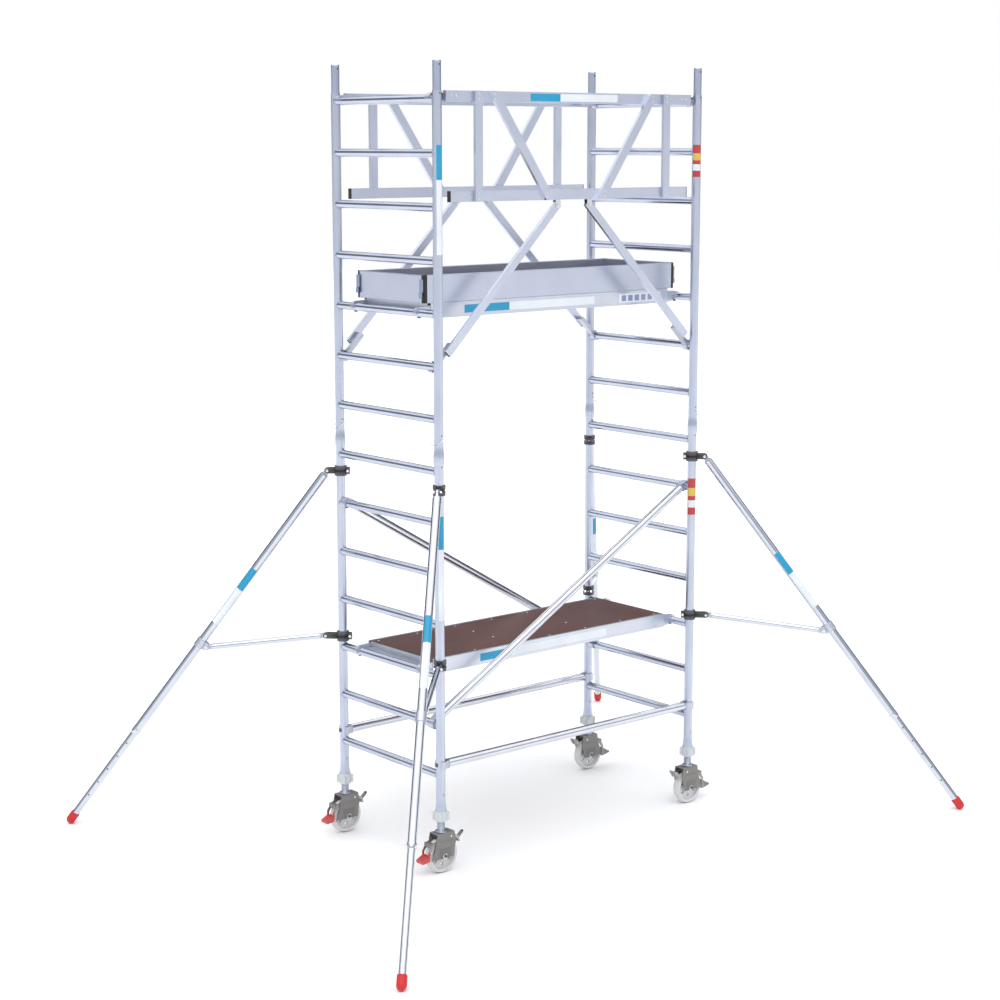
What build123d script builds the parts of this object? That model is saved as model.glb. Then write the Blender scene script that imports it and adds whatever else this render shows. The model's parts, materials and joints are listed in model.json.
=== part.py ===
from build123d import *
import os
from math import atan2, cos, degrees, radians, sin

os.makedirs("parts", exist_ok=True)

# Mobile aluminium scaffold tower. X runs along the decks, Y across the ladder frames, Z up.
# The origin is on the floor, midway between the four castors. Millimetres.

# Bay and ladder frames
bay_length = 1912.0  # between upright axes, along X
bay_width = 900.0  # between upright axes, along Y
rung_pitch = 280.0
rungs_per_frame = 7
upright_od = 50.8
upright_wall = 2.5
rung_od = 45.0
rung_wall = 2.0
upright_foot = 238.0  # upright below its lowest rung
bell_od = 59.0
bell_foot_od = 57.0
bell_length = 97.0
bell_widest = 0.42  # of the bell's length, up from its foot
spigot_clearance = 0.5  # sliding part, inside the next frame's upright
spigot_wall = 2.5
spigot_projection = 154.0
spigot_insertion = 120.0
spigot_taper = 4.0
spigot_collar = 1.0  # held part, proud of the upright's end
clip_height = 133.0  # interlock clip above the upright's foot
clip_hole = 9.0
clip_pin = 8.0
clip_ear = 6.0  # pin beyond the upright on each side
clip_wire_r = 2.0
clip_bail_length = 46.0
clip_bail_radius = 14.0
clip_tilt = 40.0  # the bail hangs this far below level
weld_gap = 0.05
part_gap = 0.3  # between pieces that are seated on each other
pivot_bolt_d = 10.0
pivot_head_d = 18.0
pivot_head = 6.0

# Castors
wheel_od = 200.0
wheel_width = 46.0
hub_width = 60.0
hub_od = 52.0
axle_d = 12.0
axle_head_d = 22.0
axle_head = 7.0
running_clearance = 0.08
fork_height = 131.0  # fork top above the axle
fork_sheet = 3.0
fork_inner = 66.0  # between the fork's side plates
fork_drop = 13.0  # side plates below the axle
fork_crown = 5.0
kingpin_d = 16.0
kingpin_nut = 12.0
kingpin_nut_od = 26.0
fork_crown_out = 50.0
fork_crown_in = 67.0
fork_waist_out = 66.0
fork_waist_in = 77.0
fork_waist_out_rise = 55.0  # above the axle
fork_waist_in_rise = 72.0
fork_foot_out = 91.0
fork_foot_in = 56.0
fork_bend = 4.0
fork_block_x = 38.0
fork_block_length = 18.0
fork_block_height = 20.0
wheel_windows = 6
wheel_window_d = 22.0
wheel_rim_depth = 24.0
wheel_shoulder = 6.0
web_at_hub = 9.0  # half of the web's thickness
web_at_rim = 7.0
hub_flare = 4.0
rim_flare = 3.0
shoe_size = 24.0
shoe_gap = 0.5
cheek_sheet = 3.0
cheek_offset = 26.0
brake_pivot_d = 8.0
brake_head_d = 13.0
brake_head = 5.0
brake_pivot_x = -40.0  # along the castor's outward direction
brake_pivot_drop = 24.0  # below the fork's top
shoe_centre = (84.0, 172.0)
lever_knob_r = 8.0
lever_neck_width = 14.0
# Outlines of the brake lever: outward from the castor's axis, and up from the floor
cheek_outline = (
    (-104, 178),
    (-104, 194),
    (-46, 216),
    (-32, 216),
    (22, 209),
    (84, 181),
    (110, 140),
    (112, 92),
    (101, 89),
    (96, 134),
    (72, 164),
    (18, 190),
    (-36, 198),
)
wedge_pedal = ((102, 84), (150, 79), (152, 94), (102, 120))
cone_pedal = ((102, 72), (146, 72), (176, 74), (176, 85), (125, 115), (102, 128))
cone_knob = (179.0, 79.0)
lever_bridge = ((-90, 184), (-99.5, 160.5), (-108, 160), (-104, 192))
lever_neck = ((-100, 161), (-104, 174), (-142, 208), (-150, 199), (-108, 160))
neck_knob = (-147.0, 204.0)
release_fork = ((-92, 182), (-100, 174), (-124, 206), (-120, 219), (-108, 212), (-96, 196))
release_slot = (-112.0, 196.0, 34.0, 60.0)
# Screw jacks
stem_od = 44.0
stem_wall = 5.0
stem_length = 430.0
stem_flange_od = 66.0
stem_flange = 8.0
jack_gap = 63.0  # fork top to the underside of the nut
nut_seat = 20.7
nut_cup_depth = 39.0
nut_wall = 4.0
nut_cup_clearance = 0.5
nut_bore_clearance = 0.35
nut_wing_reach = 48.0
nut_wing_sheet = 12.0
nut_wing_turn = -40.0  # from the X axis, at rest
nut_wing_rise = 6.0
nut_wing_height = 44.0

# Stabilisers, in the vertical plane that leaves its upright at 45 degrees
clamp_height = 56.0
clamp_wall = 9.0
clamp_clearance = 0.35
upper_clamp_above_rung = 182.0
upper_clamp_rung = 6  # counted from the bottom, the lowest rung is 1
lower_clamp_above_rung = 60.0
lower_clamp_rung = 3
leg_pivot_reach = 75.0
strut_pivot_reach = 98.0
lug_reach = 800.0
lug_height = 1088.0
leg_od = 48.0
leg_wall = 3.0
leg_end = 1955.0  # along the leg, from its pivot
leg_start = 34.0
inner_leg_clearance = 0.4
inner_leg_wall = 2.2
inner_leg_hidden = 460.0  # inner leg inside the outer one, at rest
strut_od = 35.0
strut_wall = 2.0
tongue_sheet = 12.0
tongue_r = 17.0
tongue_length = 40.0
tongue_waist = 4.0
tongue_plug_start = 28.0
tongue_plug = 60.0
jaw_reach = 52.0
jaw_slit = 6.0
jaw_wall = 10.0
clamp_waist = 6.0
clamp_groove = 4.0
clamp_eye_wall = 8.0
jaw_bolt_inset = 9.0
jaw_height = 39.0
lug_wall = 6.0
lug_length = 50.0
lug_ear = 6.0
lug_grip = 24.8
lock_pin_position = 1930.0
lock_pin_d = 8.0
lock_pin_proud = 12.0
lock_pin_neck = 7.0
lock_hole_pitch = 100.0
lock_hole_d = 9.0
lock_holes_above = 4
lock_holes_below = 5
foot_r = 26.0
foot_sleeve = 52.0
foot_socket = 18.0
foot_chamfer = 4.0
lug_slot_length = 60.0
lug_slot_slope = 0.12  # the slot follows the strut's slope
leg_angle = 36.6  # from the vertical

# Braces and their claws
brace_od = 48.0
brace_wall = 2.0
claw_wall = 9.0
claw_width = 44.0
claw_reach = 46.0
claw_mouth_cut = 15.0
latch_from = -48.0  # from the middle of the claw's mouth
latch_to = 12.0
latch_thinner = 3.0
plug_length = 40.0
rung_claw_mouth = 50.0  # half of the mouth's angle
upright_claw_mouth = 62.0
horizontal_brace_above_rung = 60.0
diagonal_brace_y = 400.0
diagonal_low_rung = 2
diagonal_high_rung = 6
diagonal_lift = 13.0

# Decks
deck_width = 600.0
deck_length = 1770.0
lower_deck_rung = 3
upper_deck_rung = 10
beam_width = 30.0
beam_wall = 2.5
beam_below_rung = 33.0
board_top_above_rung = 47.0
board_thickness = 10.0
lip_height = 2.0
lip_width = 15.0
rib_height = 25.0
rib_width = 40.0
rib_count = 4
end_sheet = 3.0
channel_lap = 2.0
channel_shelf = 18.0  # shelf above the rung's axis
channel_depth = 40.0
channel_end_gap = 2.0
hook_width = 24.0
hook_wall = 10.0
hook_shank = 70.0
hook_latch_wall = 6.0
hook_tip_drop = 6.0
toe_height = 150.0
toe_thickness = 22.0
toe_wall = 2.5
toe_end_x = 932.0
corner_block = 22.0
corner_radius = 6.0
# Trapdoor in the upper deck
trapdoor_left = -815.0
trapdoor_right = -215.0
trapdoor_side_gap = 2.0
hinge_y = 250.0
hinge_rise = 7.0
hinge_barrel_d = 12.0
hinge_pin_d = 6.0
hinge_leaf = 3.0
hinge_leaf_length = 45.0
hinge_leaf_short = 20.0
hinge_knuckle = 30.0
hinge_inset = 110.0
hinge_leaf_offset = 1.0  # leaf edge from the hinge's axis
trapdoor_hinge_gap = 3.0
finger_slot_inset = 60.0
finger_slot_length = 110.0
finger_slot_width = 34.0

# Guardrails
guard_y = 442.0
rail_height = 58.0
rail_thickness = 25.0
rail_wall = 2.0
top_rail_length = 1800.0
low_rail_length = 1750.0
low_rail_drop = 520.0
top_rail_rise = 15.0  # rail axis above the top rung's axis
post_width = 50.0
post_thickness = 20.0
post_x = 691.0
diagonal_top_x = 591.0
diagonal_foot_x = 185.0
cap_thickness = 5.0
bracket_x = 116.0
bracket_drop = 28.0
bracket_sheet = 3.0
bracket_round = 0.6  # lug radius as a share of its drop
guard_brace_width = 45.0
guard_brace_thickness = 20.0
guard_brace_wall = 2.0
guard_brace_rung = 9
guard_claw_inner_y = 385.0
guard_claw_outer_y = 420.0
rail_foot_start = 62.0  # claw foot on the rail, from the rung's axis
rail_foot_end = 150.0
rail_foot_low = -8.0
rail_foot_high = 32.0
brace_foot_gap = 4.0
brace_foot_end = 74.0  # past the end of the brace
brace_foot_low = -6.0
brace_foot_high = 18.0
clear_side = 0.5
brace_nose = 14.0
guard_brace_stop = 93.0  # from the rung's axis to the end of the brace

# ---------------------------------------------------------------- derived places
half_length = bay_length / 2
half_width = bay_width / 2
frame_height = rungs_per_frame * rung_pitch
axle_z = wheel_od / 2
fork_top = axle_z + fork_height
nut_bottom = fork_top + jack_gap
upright_bottom = nut_bottom + nut_seat + part_gap
first_rung_z = upright_bottom + upright_foot
upright_r = upright_od / 2
rung_r = rung_od / 2
upright_bore_r = upright_r - upright_wall
spigot_r = upright_bore_r - spigot_clearance
claw_fit = part_gap
corners = {"front_left": (-1, -1), "back_left": (-1, 1), "front_right": (1, -1), "back_right": (1, 1)}
sides = {"front": -1, "back": 1}
ends = {"left": -1, "right": 1}
leg_lean = radians(leg_angle)


def rung_z(number):
    """Height of a rung's axis, counted from the lowest rung of the tower, which is 1."""
    return first_rung_z + (number - 1) * rung_pitch


def save(label, *pieces):
    """Write one node; its pieces stay separate solids."""
    node = Compound([solid for piece in pieces for solid in piece.solids()])
    node.label = label
    export_step(node, f"parts/{label}.step")


def round_tube(start, end, outer_d, wall):
    """Straight round tube between two points."""
    run = end - start
    with BuildPart() as tube:
        with BuildSketch(Plane(origin=start, z_dir=run)):
            Circle(outer_d / 2)
            Circle(outer_d / 2 - wall, mode=Mode.SUBTRACT)
        extrude(amount=run.length)
    return tube.part


def box_tube(start, end, wide_dir, width, thickness, wall):
    """Straight rectangular tube; its width lies along wide_dir."""
    run = end - start
    with BuildPart() as tube:
        with BuildSketch(Plane(origin=start, x_dir=wide_dir, z_dir=run)):
            RectangleRounded(width, thickness, wall)
            Rectangle(width - 2 * wall, thickness - 2 * wall, mode=Mode.SUBTRACT)
        extrude(amount=run.length)
    return tube.part


def bolt(origin, direction, shank_d, grip, head_d, head_height):
    """Plain bolt with a head and a nut, centred on its grip."""
    axis = Vector(*direction).normalized()
    start = origin - axis * (grip / 2)
    with BuildPart() as part:
        with BuildSketch(Plane(origin=start, z_dir=axis)):
            Circle(shank_d / 2)
        extrude(amount=grip)
        with BuildSketch(Plane(origin=start, z_dir=-axis)):
            RegularPolygon(head_d / 2, 6)
        extrude(amount=head_height)
        with BuildSketch(Plane(origin=start + axis * grip, z_dir=axis)):
            RegularPolygon(head_d / 2, 6)
        extrude(amount=head_height)
    return part.part


# ---------------------------------------------------------------- ladder frames
def upright(x, y, bottom):
    """Upright tube with the swelled foot that sleeves over the spigot below it."""
    section = Plane(origin=(x, y, bottom), x_dir=(1, 0, 0), z_dir=(0, -1, 0))
    with BuildPart() as part:
        with BuildSketch(section):
            with BuildLine():
                Line((upright_bore_r, 0), (bell_foot_od / 2, 0))
                Spline(
                    (bell_foot_od / 2, 0),
                    (bell_od / 2, bell_length * bell_widest),
                    (upright_r, bell_length),
                    tangents=((0.05, 1), (0, 1)),
                )
                Line((upright_r, bell_length), (upright_r, frame_height))
                Line((upright_r, frame_height), (upright_bore_r, frame_height))
                Line((upright_bore_r, frame_height), (upright_bore_r, 0))
            make_face()
        revolve(axis=Axis((x, y, 0), (0, 0, 1)))
        with BuildSketch(Plane(origin=(x, y, bottom + clip_height), z_dir=(0, 1, 0))):
            Circle(clip_hole / 2)
        extrude(amount=upright_od, both=True, mode=Mode.SUBTRACT)
    return part.part


def spigot(x, y, top):
    """Tube spigot in an upright's head, tapered at its mouth and drilled for the clip."""
    section = Plane(origin=(x, y, top), x_dir=(1, 0, 0), z_dir=(0, -1, 0))
    bore_r = spigot_r - spigot_wall
    held_r = upright_bore_r - weld_gap
    with BuildPart() as part:
        with BuildSketch(section):
            with BuildLine():
                Polyline(
                    (bore_r, -spigot_insertion),
                    (held_r, -spigot_insertion),
                    (held_r, spigot_collar),
                    (spigot_r, spigot_collar),
                    (spigot_r, spigot_projection - spigot_taper),
                    (spigot_r - spigot_taper / 3, spigot_projection),
                    (bore_r, spigot_projection),
                    close=True,
                )
            make_face()
        revolve(axis=Axis((x, y, 0), (0, 0, 1)))
        with BuildSketch(Plane(origin=(x, y, top + clip_height), z_dir=(0, 1, 0))):
            Circle(clip_hole / 2)
        extrude(amount=upright_od, both=True, mode=Mode.SUBTRACT)
    return part.part


def rung(x, z):
    """Rung tube, coped to both uprights."""
    with BuildPart() as part:
        with BuildSketch(Plane(origin=(x, 0, z), z_dir=(0, 1, 0))):
            Circle(rung_r)
            Circle(rung_r - rung_wall, mode=Mode.SUBTRACT)
        extrude(amount=half_width, both=True)
        with BuildSketch(Plane(origin=(x, 0, z - rung_od))):
            with Locations((0, -half_width), (0, half_width)):
                Circle(upright_r + weld_gap)
        extrude(amount=2 * rung_od, mode=Mode.SUBTRACT)
    return part.part


def end_frame(label, x, level):
    """One welded ladder frame: two uprights, seven rungs and two spigots."""
    bottom = upright_bottom + level * frame_height
    pieces = [upright(x, y, bottom) for y in (-half_width, half_width)]
    pieces += [spigot(x, y, bottom + frame_height) for y in (-half_width, half_width)]
    for number in range(rungs_per_frame):
        pieces.append(rung(x, bottom + upright_foot + number * rung_pitch))
    save(label, *pieces)


def interlock_clip(x, y, outward):
    """Clip that locks the upper frame to the spigot: a cross pin on a bent wire bail."""
    pin_z = upright_bottom + frame_height + clip_height
    ear = upright_r + clip_ear
    lean = radians(clip_tilt)
    with BuildPart() as part:
        with BuildSketch(Plane(origin=(x, y, pin_z), z_dir=(0, 1, 0))):
            Circle(clip_pin / 2)
        extrude(amount=ear + clip_wire_r, both=True)
        along = (outward * cos(lean), 0, -sin(lean))
        bail = Plane(origin=(x, y, pin_z), x_dir=along, z_dir=(outward * sin(lean), 0, cos(lean)))
        with BuildLine(bail) as path:
            FilletPolyline(
                (0, -ear),
                (clip_bail_length, -ear),
                (clip_bail_length, ear),
                (0, ear),
                radius=clip_bail_radius,
            )
        with BuildSketch(Plane(origin=path.line @ 0, z_dir=path.line % 0)):
            Circle(clip_wire_r)
        sweep(path=path.line)
    return part.part


# ---------------------------------------------------------------- braces and claws
def claw(centre, toward, grip_axis, grip_r, mouth, plug_r, lift, half_mouth):
    """Cast C-claw on a gripped tube, with the plug that its brace tube is fixed on."""
    plane = Plane(origin=centre, x_dir=toward, z_dir=grip_axis)
    angle = atan2(mouth.dot(plane.y_dir), mouth.dot(plane.x_dir))
    reach = grip_r + claw_wall + claw_mouth_cut
    edges = [angle - radians(half_mouth), angle + radians(half_mouth)]
    tips = [(reach * cos(a), reach * sin(a)) for a in edges]
    far = (2 * reach * cos(angle), 2 * reach * sin(angle))
    with BuildPart() as part:
        with BuildSketch(plane):
            Circle(grip_r + claw_wall)
            with Locations((claw_reach / 2, lift)):
                Rectangle(claw_reach, 2 * plug_r)
            Circle(grip_r + claw_fit, mode=Mode.SUBTRACT)
            with BuildLine():
                Polyline((0, 0), tips[0], far, tips[1], close=True)
            make_face(mode=Mode.SUBTRACT)
        extrude(amount=claw_width / 2, both=True)
        with BuildSketch(Plane(origin=plane.from_local_coords((claw_reach, lift, 0)), z_dir=toward)):
            Circle(plug_r)
        extrude(amount=plug_length)
    return part.part


def trigger(centre, toward, grip_axis, grip_r, mouth):
    """Spring latch across a claw's mouth: a short curved finger with a thumb tab."""
    plane = Plane(origin=centre, x_dir=toward, z_dir=grip_axis)
    angle = degrees(atan2(mouth.dot(plane.y_dir), mouth.dot(plane.x_dir)))
    inner = grip_r + claw_fit
    outer = grip_r + claw_wall - latch_thinner
    with BuildPart() as part:
        with BuildSketch(plane):
            with BuildLine():
                CenterArc((0, 0), inner, angle + latch_from, latch_to - latch_from)
                CenterArc((0, 0), outer, angle + latch_from, latch_to - latch_from)
                for a in (angle + latch_from, angle + latch_to):
                    Line(
                        (inner * cos(radians(a)), inner * sin(radians(a))),
                        (outer * cos(radians(a)), outer * sin(radians(a))),
                    )
            make_face()
        extrude(amount=claw_width / 5, both=True)
    return part.part


def brace(label, low, high, grip_axis, grip_r, mouth, lift):
    """Round brace tube between two gripped tubes; returns its claws and latches."""
    toward = (high - low).normalized()
    plane = Plane(origin=low, x_dir=toward, z_dir=grip_axis)
    if plane.y_dir.Z < 0:
        plane = Plane(origin=low, x_dir=toward, z_dir=-grip_axis)
    shift = plane.y_dir * lift
    start = low + toward * (claw_reach + weld_gap) + shift
    end = high - toward * (claw_reach + weld_gap) + shift
    save(label, round_tube(start, end, brace_od, brace_wall))
    plug_r = brace_od / 2 - brace_wall - weld_gap
    up = plane.z_dir
    return [
        claw(low, toward, up, grip_r, mouth, plug_r, lift, rung_claw_mouth),
        claw(high, -toward, -up, grip_r, mouth, plug_r, lift, rung_claw_mouth),
        trigger(low, toward, up, grip_r, mouth),
        trigger(high, -toward, -up, grip_r, mouth),
    ]


def braces():
    """Two horizontal braces on the uprights and two diagonals on the rungs."""
    claws = []
    for name, side in sides.items():
        y = side * half_width
        z = rung_z(1) + horizontal_brace_above_rung
        low = Vector(-half_length, y, z)
        high = Vector(half_length, y, z)
        toward = Vector(1, 0, 0)
        tube_start = low + toward * (claw_reach + weld_gap)
        tube_end = high - toward * (claw_reach + weld_gap)
        save(f"horizontal_brace_{name}", round_tube(tube_start, tube_end, brace_od, brace_wall))
        plug_r = brace_od / 2 - brace_wall - weld_gap
        up = Vector(0, 0, 1)
        for end, along in ((low, toward), (high, -toward)):
            claws.append(claw(end, along, up, upright_r, -along, plug_r, 0.0, upright_claw_mouth))
            claws.append(trigger(end, along, up, upright_r, -along))
    down = Vector(0, 0, -1)
    for name, side in sides.items():
        y = side * diagonal_brace_y
        low_x = side * half_length
        low = Vector(low_x, y, rung_z(diagonal_low_rung))
        high = Vector(-low_x, y, rung_z(diagonal_high_rung))
        claws += brace(f"diagonal_brace_{name}", low, high, Vector(0, 1, 0), rung_r, down, diagonal_lift)
    save("brace_claws", *claws)


# ---------------------------------------------------------------- decks
def side_beam(side, rung_height):
    """Hollow side beam with an upstand and a lip over the board's edge."""
    low = rung_height - beam_below_rung
    seat = rung_height + board_top_above_rung - board_thickness
    top = rung_height + board_top_above_rung + lip_height
    outer = deck_width / 2
    plane = Plane(origin=(-deck_length / 2, 0, 0), x_dir=(0, side, 0), z_dir=(side, 0, 0))
    with BuildPart() as part:
        with BuildSketch(plane):
            with Locations((outer - beam_width / 2, (low + seat) / 2)):
                Rectangle(beam_width, seat - low)
                Rectangle(beam_width - 2 * beam_wall, seat - low - 2 * beam_wall, mode=Mode.SUBTRACT)
            with Locations((outer - beam_wall / 2, (seat + top) / 2)):
                Rectangle(beam_wall, top - seat)
            with Locations((outer - lip_width / 2, top - lip_height / 2)):
                Rectangle(lip_width, lip_height)
        extrude(amount=side * deck_length)
    return part.part


def deck_frame(label, rung_height, rib_places, extras):
    """Side beams, cross ribs and end channels of one deck."""
    seat = rung_height + board_top_above_rung - board_thickness
    inside = deck_width / 2 - beam_width - weld_gap
    pieces = [side_beam(side, rung_height) for side in (-1, 1)]
    for x in rib_places:
        with BuildPart() as rib:
            with BuildSketch(Plane(origin=(x, 0, seat - rib_height / 2), x_dir=(1, 0, 0), z_dir=(0, 1, 0))):
                Rectangle(rib_width, rib_height)
                Rectangle(rib_width - 2 * beam_wall, rib_height - 2 * beam_wall, mode=Mode.SUBTRACT)
            extrude(amount=inside, both=True)
        pieces.append(rib.part)
    channel_reach = half_length - rung_r - deck_length / 2 - channel_end_gap
    for end in ends.values():
        start_x = end * (deck_length / 2 + weld_gap)
        with BuildPart() as channel:
            with BuildSketch(Plane(origin=(0, 0, 0), x_dir=(end, 0, 0), z_dir=(0, -end, 0))):
                with BuildLine():
                    web_x = abs(start_x)
                    top = seat + board_thickness
                    shelf = rung_height + channel_shelf
                    Polyline(
                        (web_x, shelf - channel_depth),
                        (web_x + end_sheet, shelf - channel_depth),
                        (web_x + end_sheet, shelf - end_sheet),
                        (web_x + channel_reach, shelf - end_sheet),
                        (web_x + channel_reach, shelf),
                        (web_x + end_sheet, shelf),
                        (web_x + end_sheet, top),
                        (web_x, top),
                        close=True,
                    )
                make_face()
            extrude(amount=deck_width / 2 - beam_width + channel_lap, both=True)
        pieces.append(channel.part)
    save(label, *pieces, *extras)


def deck_hook(end, side, rung_height):
    """Cast hook in a beam's end, and the wind latch under the rung."""
    y = side * (deck_width / 2 - beam_width / 2)
    plane = Plane(origin=(end * half_length, y, rung_height), x_dir=(end, 0, 0), z_dir=(0, -end, 0))
    inner = rung_r + claw_fit
    outer = rung_r + hook_wall
    beam_end = deck_length / 2 - half_length
    shank_low = -beam_below_rung + beam_wall + part_gap
    shank_high = board_top_above_rung - board_thickness - beam_wall - part_gap
    with BuildPart() as hook:
        with BuildSketch(plane):
            Circle(outer)
            with BuildLine():
                Polyline(
                    (beam_end - hook_shank, shank_low),
                    (beam_end, shank_low),
                    (-inner, -inner),
                    (-inner, 0),
                    (0, outer),
                    (-inner, outer),
                    (beam_end, shank_high),
                    (beam_end - hook_shank, shank_high),
                    close=True,
                )
            make_face()
            Circle(inner, mode=Mode.SUBTRACT)
            with Locations((-inner, -hook_tip_drop)):
                Rectangle(3 * outer, 3 * outer, align=(Align.MIN, Align.MAX), mode=Mode.SUBTRACT)
        extrude(amount=hook_width / 2, both=True)
    with BuildPart() as latch:
        with BuildSketch(plane):
            Circle(inner + hook_latch_wall)
            Circle(inner, mode=Mode.SUBTRACT)
            with Locations((0, -hook_tip_drop)):
                Rectangle(3 * outer, 3 * outer, align=(Align.CENTER, Align.MIN), mode=Mode.SUBTRACT)
            with Locations((-inner + weld_gap, 0)):
                Rectangle(outer, 3 * outer, align=(Align.MAX, Align.CENTER), mode=Mode.SUBTRACT)
            with Locations((inner / 3, 0)):
                Rectangle(outer, 3 * outer, align=(Align.MIN, Align.CENTER), mode=Mode.SUBTRACT)
        extrude(amount=hook_width / 4, both=True)
    return [hook.part, latch.part]


def board(x_low, x_high, y_low, y_high, rung_height):
    """Flat board panel whose top is level with the beams' lips."""
    with BuildPart() as part:
        with BuildSketch(Plane.XY.offset(rung_height + board_top_above_rung - board_thickness)):
            with Locations(((x_low + x_high) / 2, (y_low + y_high) / 2)):
                Rectangle(x_high - x_low, y_high - y_low)
        extrude(amount=board_thickness)
    return part.part


def hinge_fixed(x, rung_height):
    """Fixed half of a trapdoor hinge: a leaf, two knuckles and the pin."""
    z = rung_height + board_top_above_rung + hinge_rise
    outer = 1.5 * hinge_knuckle
    inner = hinge_knuckle / 2 + part_gap
    with BuildPart() as part:
        for side in (-1, 1):
            with BuildSketch(Plane(origin=(x + side * inner, hinge_y, z), z_dir=(side, 0, 0))):
                Circle(hinge_barrel_d / 2)
            extrude(amount=outer - inner)
            with BuildSketch(Plane(origin=(x + side * inner, 0, 0), x_dir=(0, 1, 0), z_dir=(1, 0, 0))):
                with Locations((hinge_y + hinge_leaf_offset, z - hinge_rise)):
                    Rectangle(hinge_leaf_short, hinge_leaf, align=(Align.MIN, Align.MIN))
            extrude(amount=side * (outer - inner))
        with BuildSketch(Plane(origin=(x - outer, hinge_y, z), z_dir=(1, 0, 0))):
            Circle(hinge_pin_d / 2)
        extrude(amount=2 * outer)
    return part.part


def hinge_moving(x, rung_height):
    """Moving half of a trapdoor hinge: a knuckle on a leaf that is riveted to the trapdoor."""
    z = rung_height + board_top_above_rung + hinge_rise
    with BuildPart() as part:
        with BuildSketch(Plane(origin=(x - hinge_knuckle / 2, hinge_y, z), z_dir=(1, 0, 0))):
            Circle(hinge_barrel_d / 2)
        extrude(amount=hinge_knuckle)
        with BuildSketch(Plane(origin=(x - hinge_knuckle / 2, 0, 0), x_dir=(0, 1, 0), z_dir=(1, 0, 0))):
            with Locations((hinge_y - hinge_leaf_offset, z - hinge_rise)):
                Rectangle(hinge_leaf_length, hinge_leaf, align=(Align.MAX, Align.MIN))
        extrude(amount=hinge_knuckle)
        with BuildSketch(Plane(origin=(x - hinge_knuckle, hinge_y, z), z_dir=(1, 0, 0))):
            Circle(hinge_pin_d / 2 + running_clearance)
        extrude(amount=2 * hinge_knuckle, mode=Mode.SUBTRACT)
    return part.part


def trapdoor():
    """Hatch panel of the upper deck with its two hinge leaves and a finger hole."""
    z = rung_z(upper_deck_rung)
    free_edge = -(deck_width / 2 - lip_width - trapdoor_side_gap)
    hinge_edge = hinge_y - trapdoor_hinge_gap
    with BuildPart() as panel:
        with BuildSketch(Plane.XY.offset(z + board_top_above_rung - board_thickness + part_gap)):
            with Locations(((trapdoor_left + trapdoor_right) / 2, (free_edge + hinge_edge) / 2)):
                Rectangle(trapdoor_right - trapdoor_left, hinge_edge - free_edge)
            with Locations(((trapdoor_left + trapdoor_right) / 2, free_edge + finger_slot_inset)):
                SlotOverall(finger_slot_length, finger_slot_width, mode=Mode.SUBTRACT)
        extrude(amount=board_thickness - part_gap)
    leaves = [hinge_moving(x, z) for x in (trapdoor_left + hinge_inset, trapdoor_right - hinge_inset)]
    save("trapdoor", panel.part, *leaves)


def decks():
    """Lower deck, upper deck with its trapdoor, and the hooks of both."""
    board_half = deck_width / 2 - beam_wall - part_gap
    board_end = deck_length / 2
    span = deck_length - 2 * rib_width
    low = rung_z(lower_deck_rung)
    high = rung_z(upper_deck_rung)
    lower_ribs = [-span / 2 + number * span / (rib_count - 1) for number in range(rib_count)]
    deck_frame("lower_deck_frame", low, lower_ribs, [])
    save("lower_deck_board", board(-board_end, board_end, -board_half, board_half, low))
    upper_ribs = [trapdoor_left, trapdoor_right, trapdoor_right + span / 3, span / 2]
    hinge_places = (trapdoor_left + hinge_inset, trapdoor_right - hinge_inset)
    deck_frame("upper_deck_frame", high, upper_ribs, [hinge_fixed(x, high) for x in hinge_places])
    gap = trapdoor_side_gap
    save(
        "upper_deck_board",
        board(-board_end, trapdoor_left - gap, -board_half, board_half, high),
        board(trapdoor_right + gap, board_end, -board_half, board_half, high),
        board(trapdoor_left - gap + weld_gap, trapdoor_right + gap - weld_gap, hinge_y, board_half, high),
    )
    hooks = []
    for height in (low, high):
        for end in ends.values():
            for side in sides.values():
                hooks += deck_hook(end, side, height)
    save("deck_hooks", *hooks)


def toe_boards():
    """Four hollow toe boards round the upper deck and their corner blocks."""
    low = rung_z(upper_deck_rung) + board_top_above_rung + lip_height + part_gap
    outer_y = deck_width / 2
    boards = []
    blocks = []
    inner_x = toe_end_x - corner_block
    for side in sides.values():
        start = Vector(-inner_x, side * (outer_y - toe_thickness / 2), low + toe_height / 2)
        end = Vector(inner_x, side * (outer_y - toe_thickness / 2), low + toe_height / 2)
        boards.append(box_tube(start, end, Vector(0, 0, 1), toe_height, toe_thickness, toe_wall))
    for end in ends.values():
        x = end * (toe_end_x - toe_thickness / 2)
        reach = outer_y - toe_thickness - part_gap
        start = Vector(x, -reach, low + toe_height / 2)
        stop = Vector(x, reach, low + toe_height / 2)
        boards.append(box_tube(start, stop, Vector(0, 0, 1), toe_height, toe_thickness, toe_wall))
        for side in sides.values():
            near_corner = (end * (inner_x + part_gap), side * (outer_y - toe_thickness + part_gap))
            with BuildPart() as block:
                with BuildSketch(Plane.XY.offset(low)):
                    with Locations(near_corner):
                        across = Align.MIN if end > 0 else Align.MAX
                        along = Align.MIN if side > 0 else Align.MAX
                        Rectangle(corner_block - part_gap, toe_thickness - part_gap, align=(across, along))
                extrude(amount=toe_height)
                outer_corner = (end * toe_end_x, side * outer_y, low)
                vertical = block.edges().filter_by(Axis.Z).sort_by_distance(outer_corner)
                fillet(vertical[0], radius=corner_radius)
            blocks.append(block.part)
    save("toe_boards", *boards)
    save("toe_board_corners", *blocks)


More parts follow.
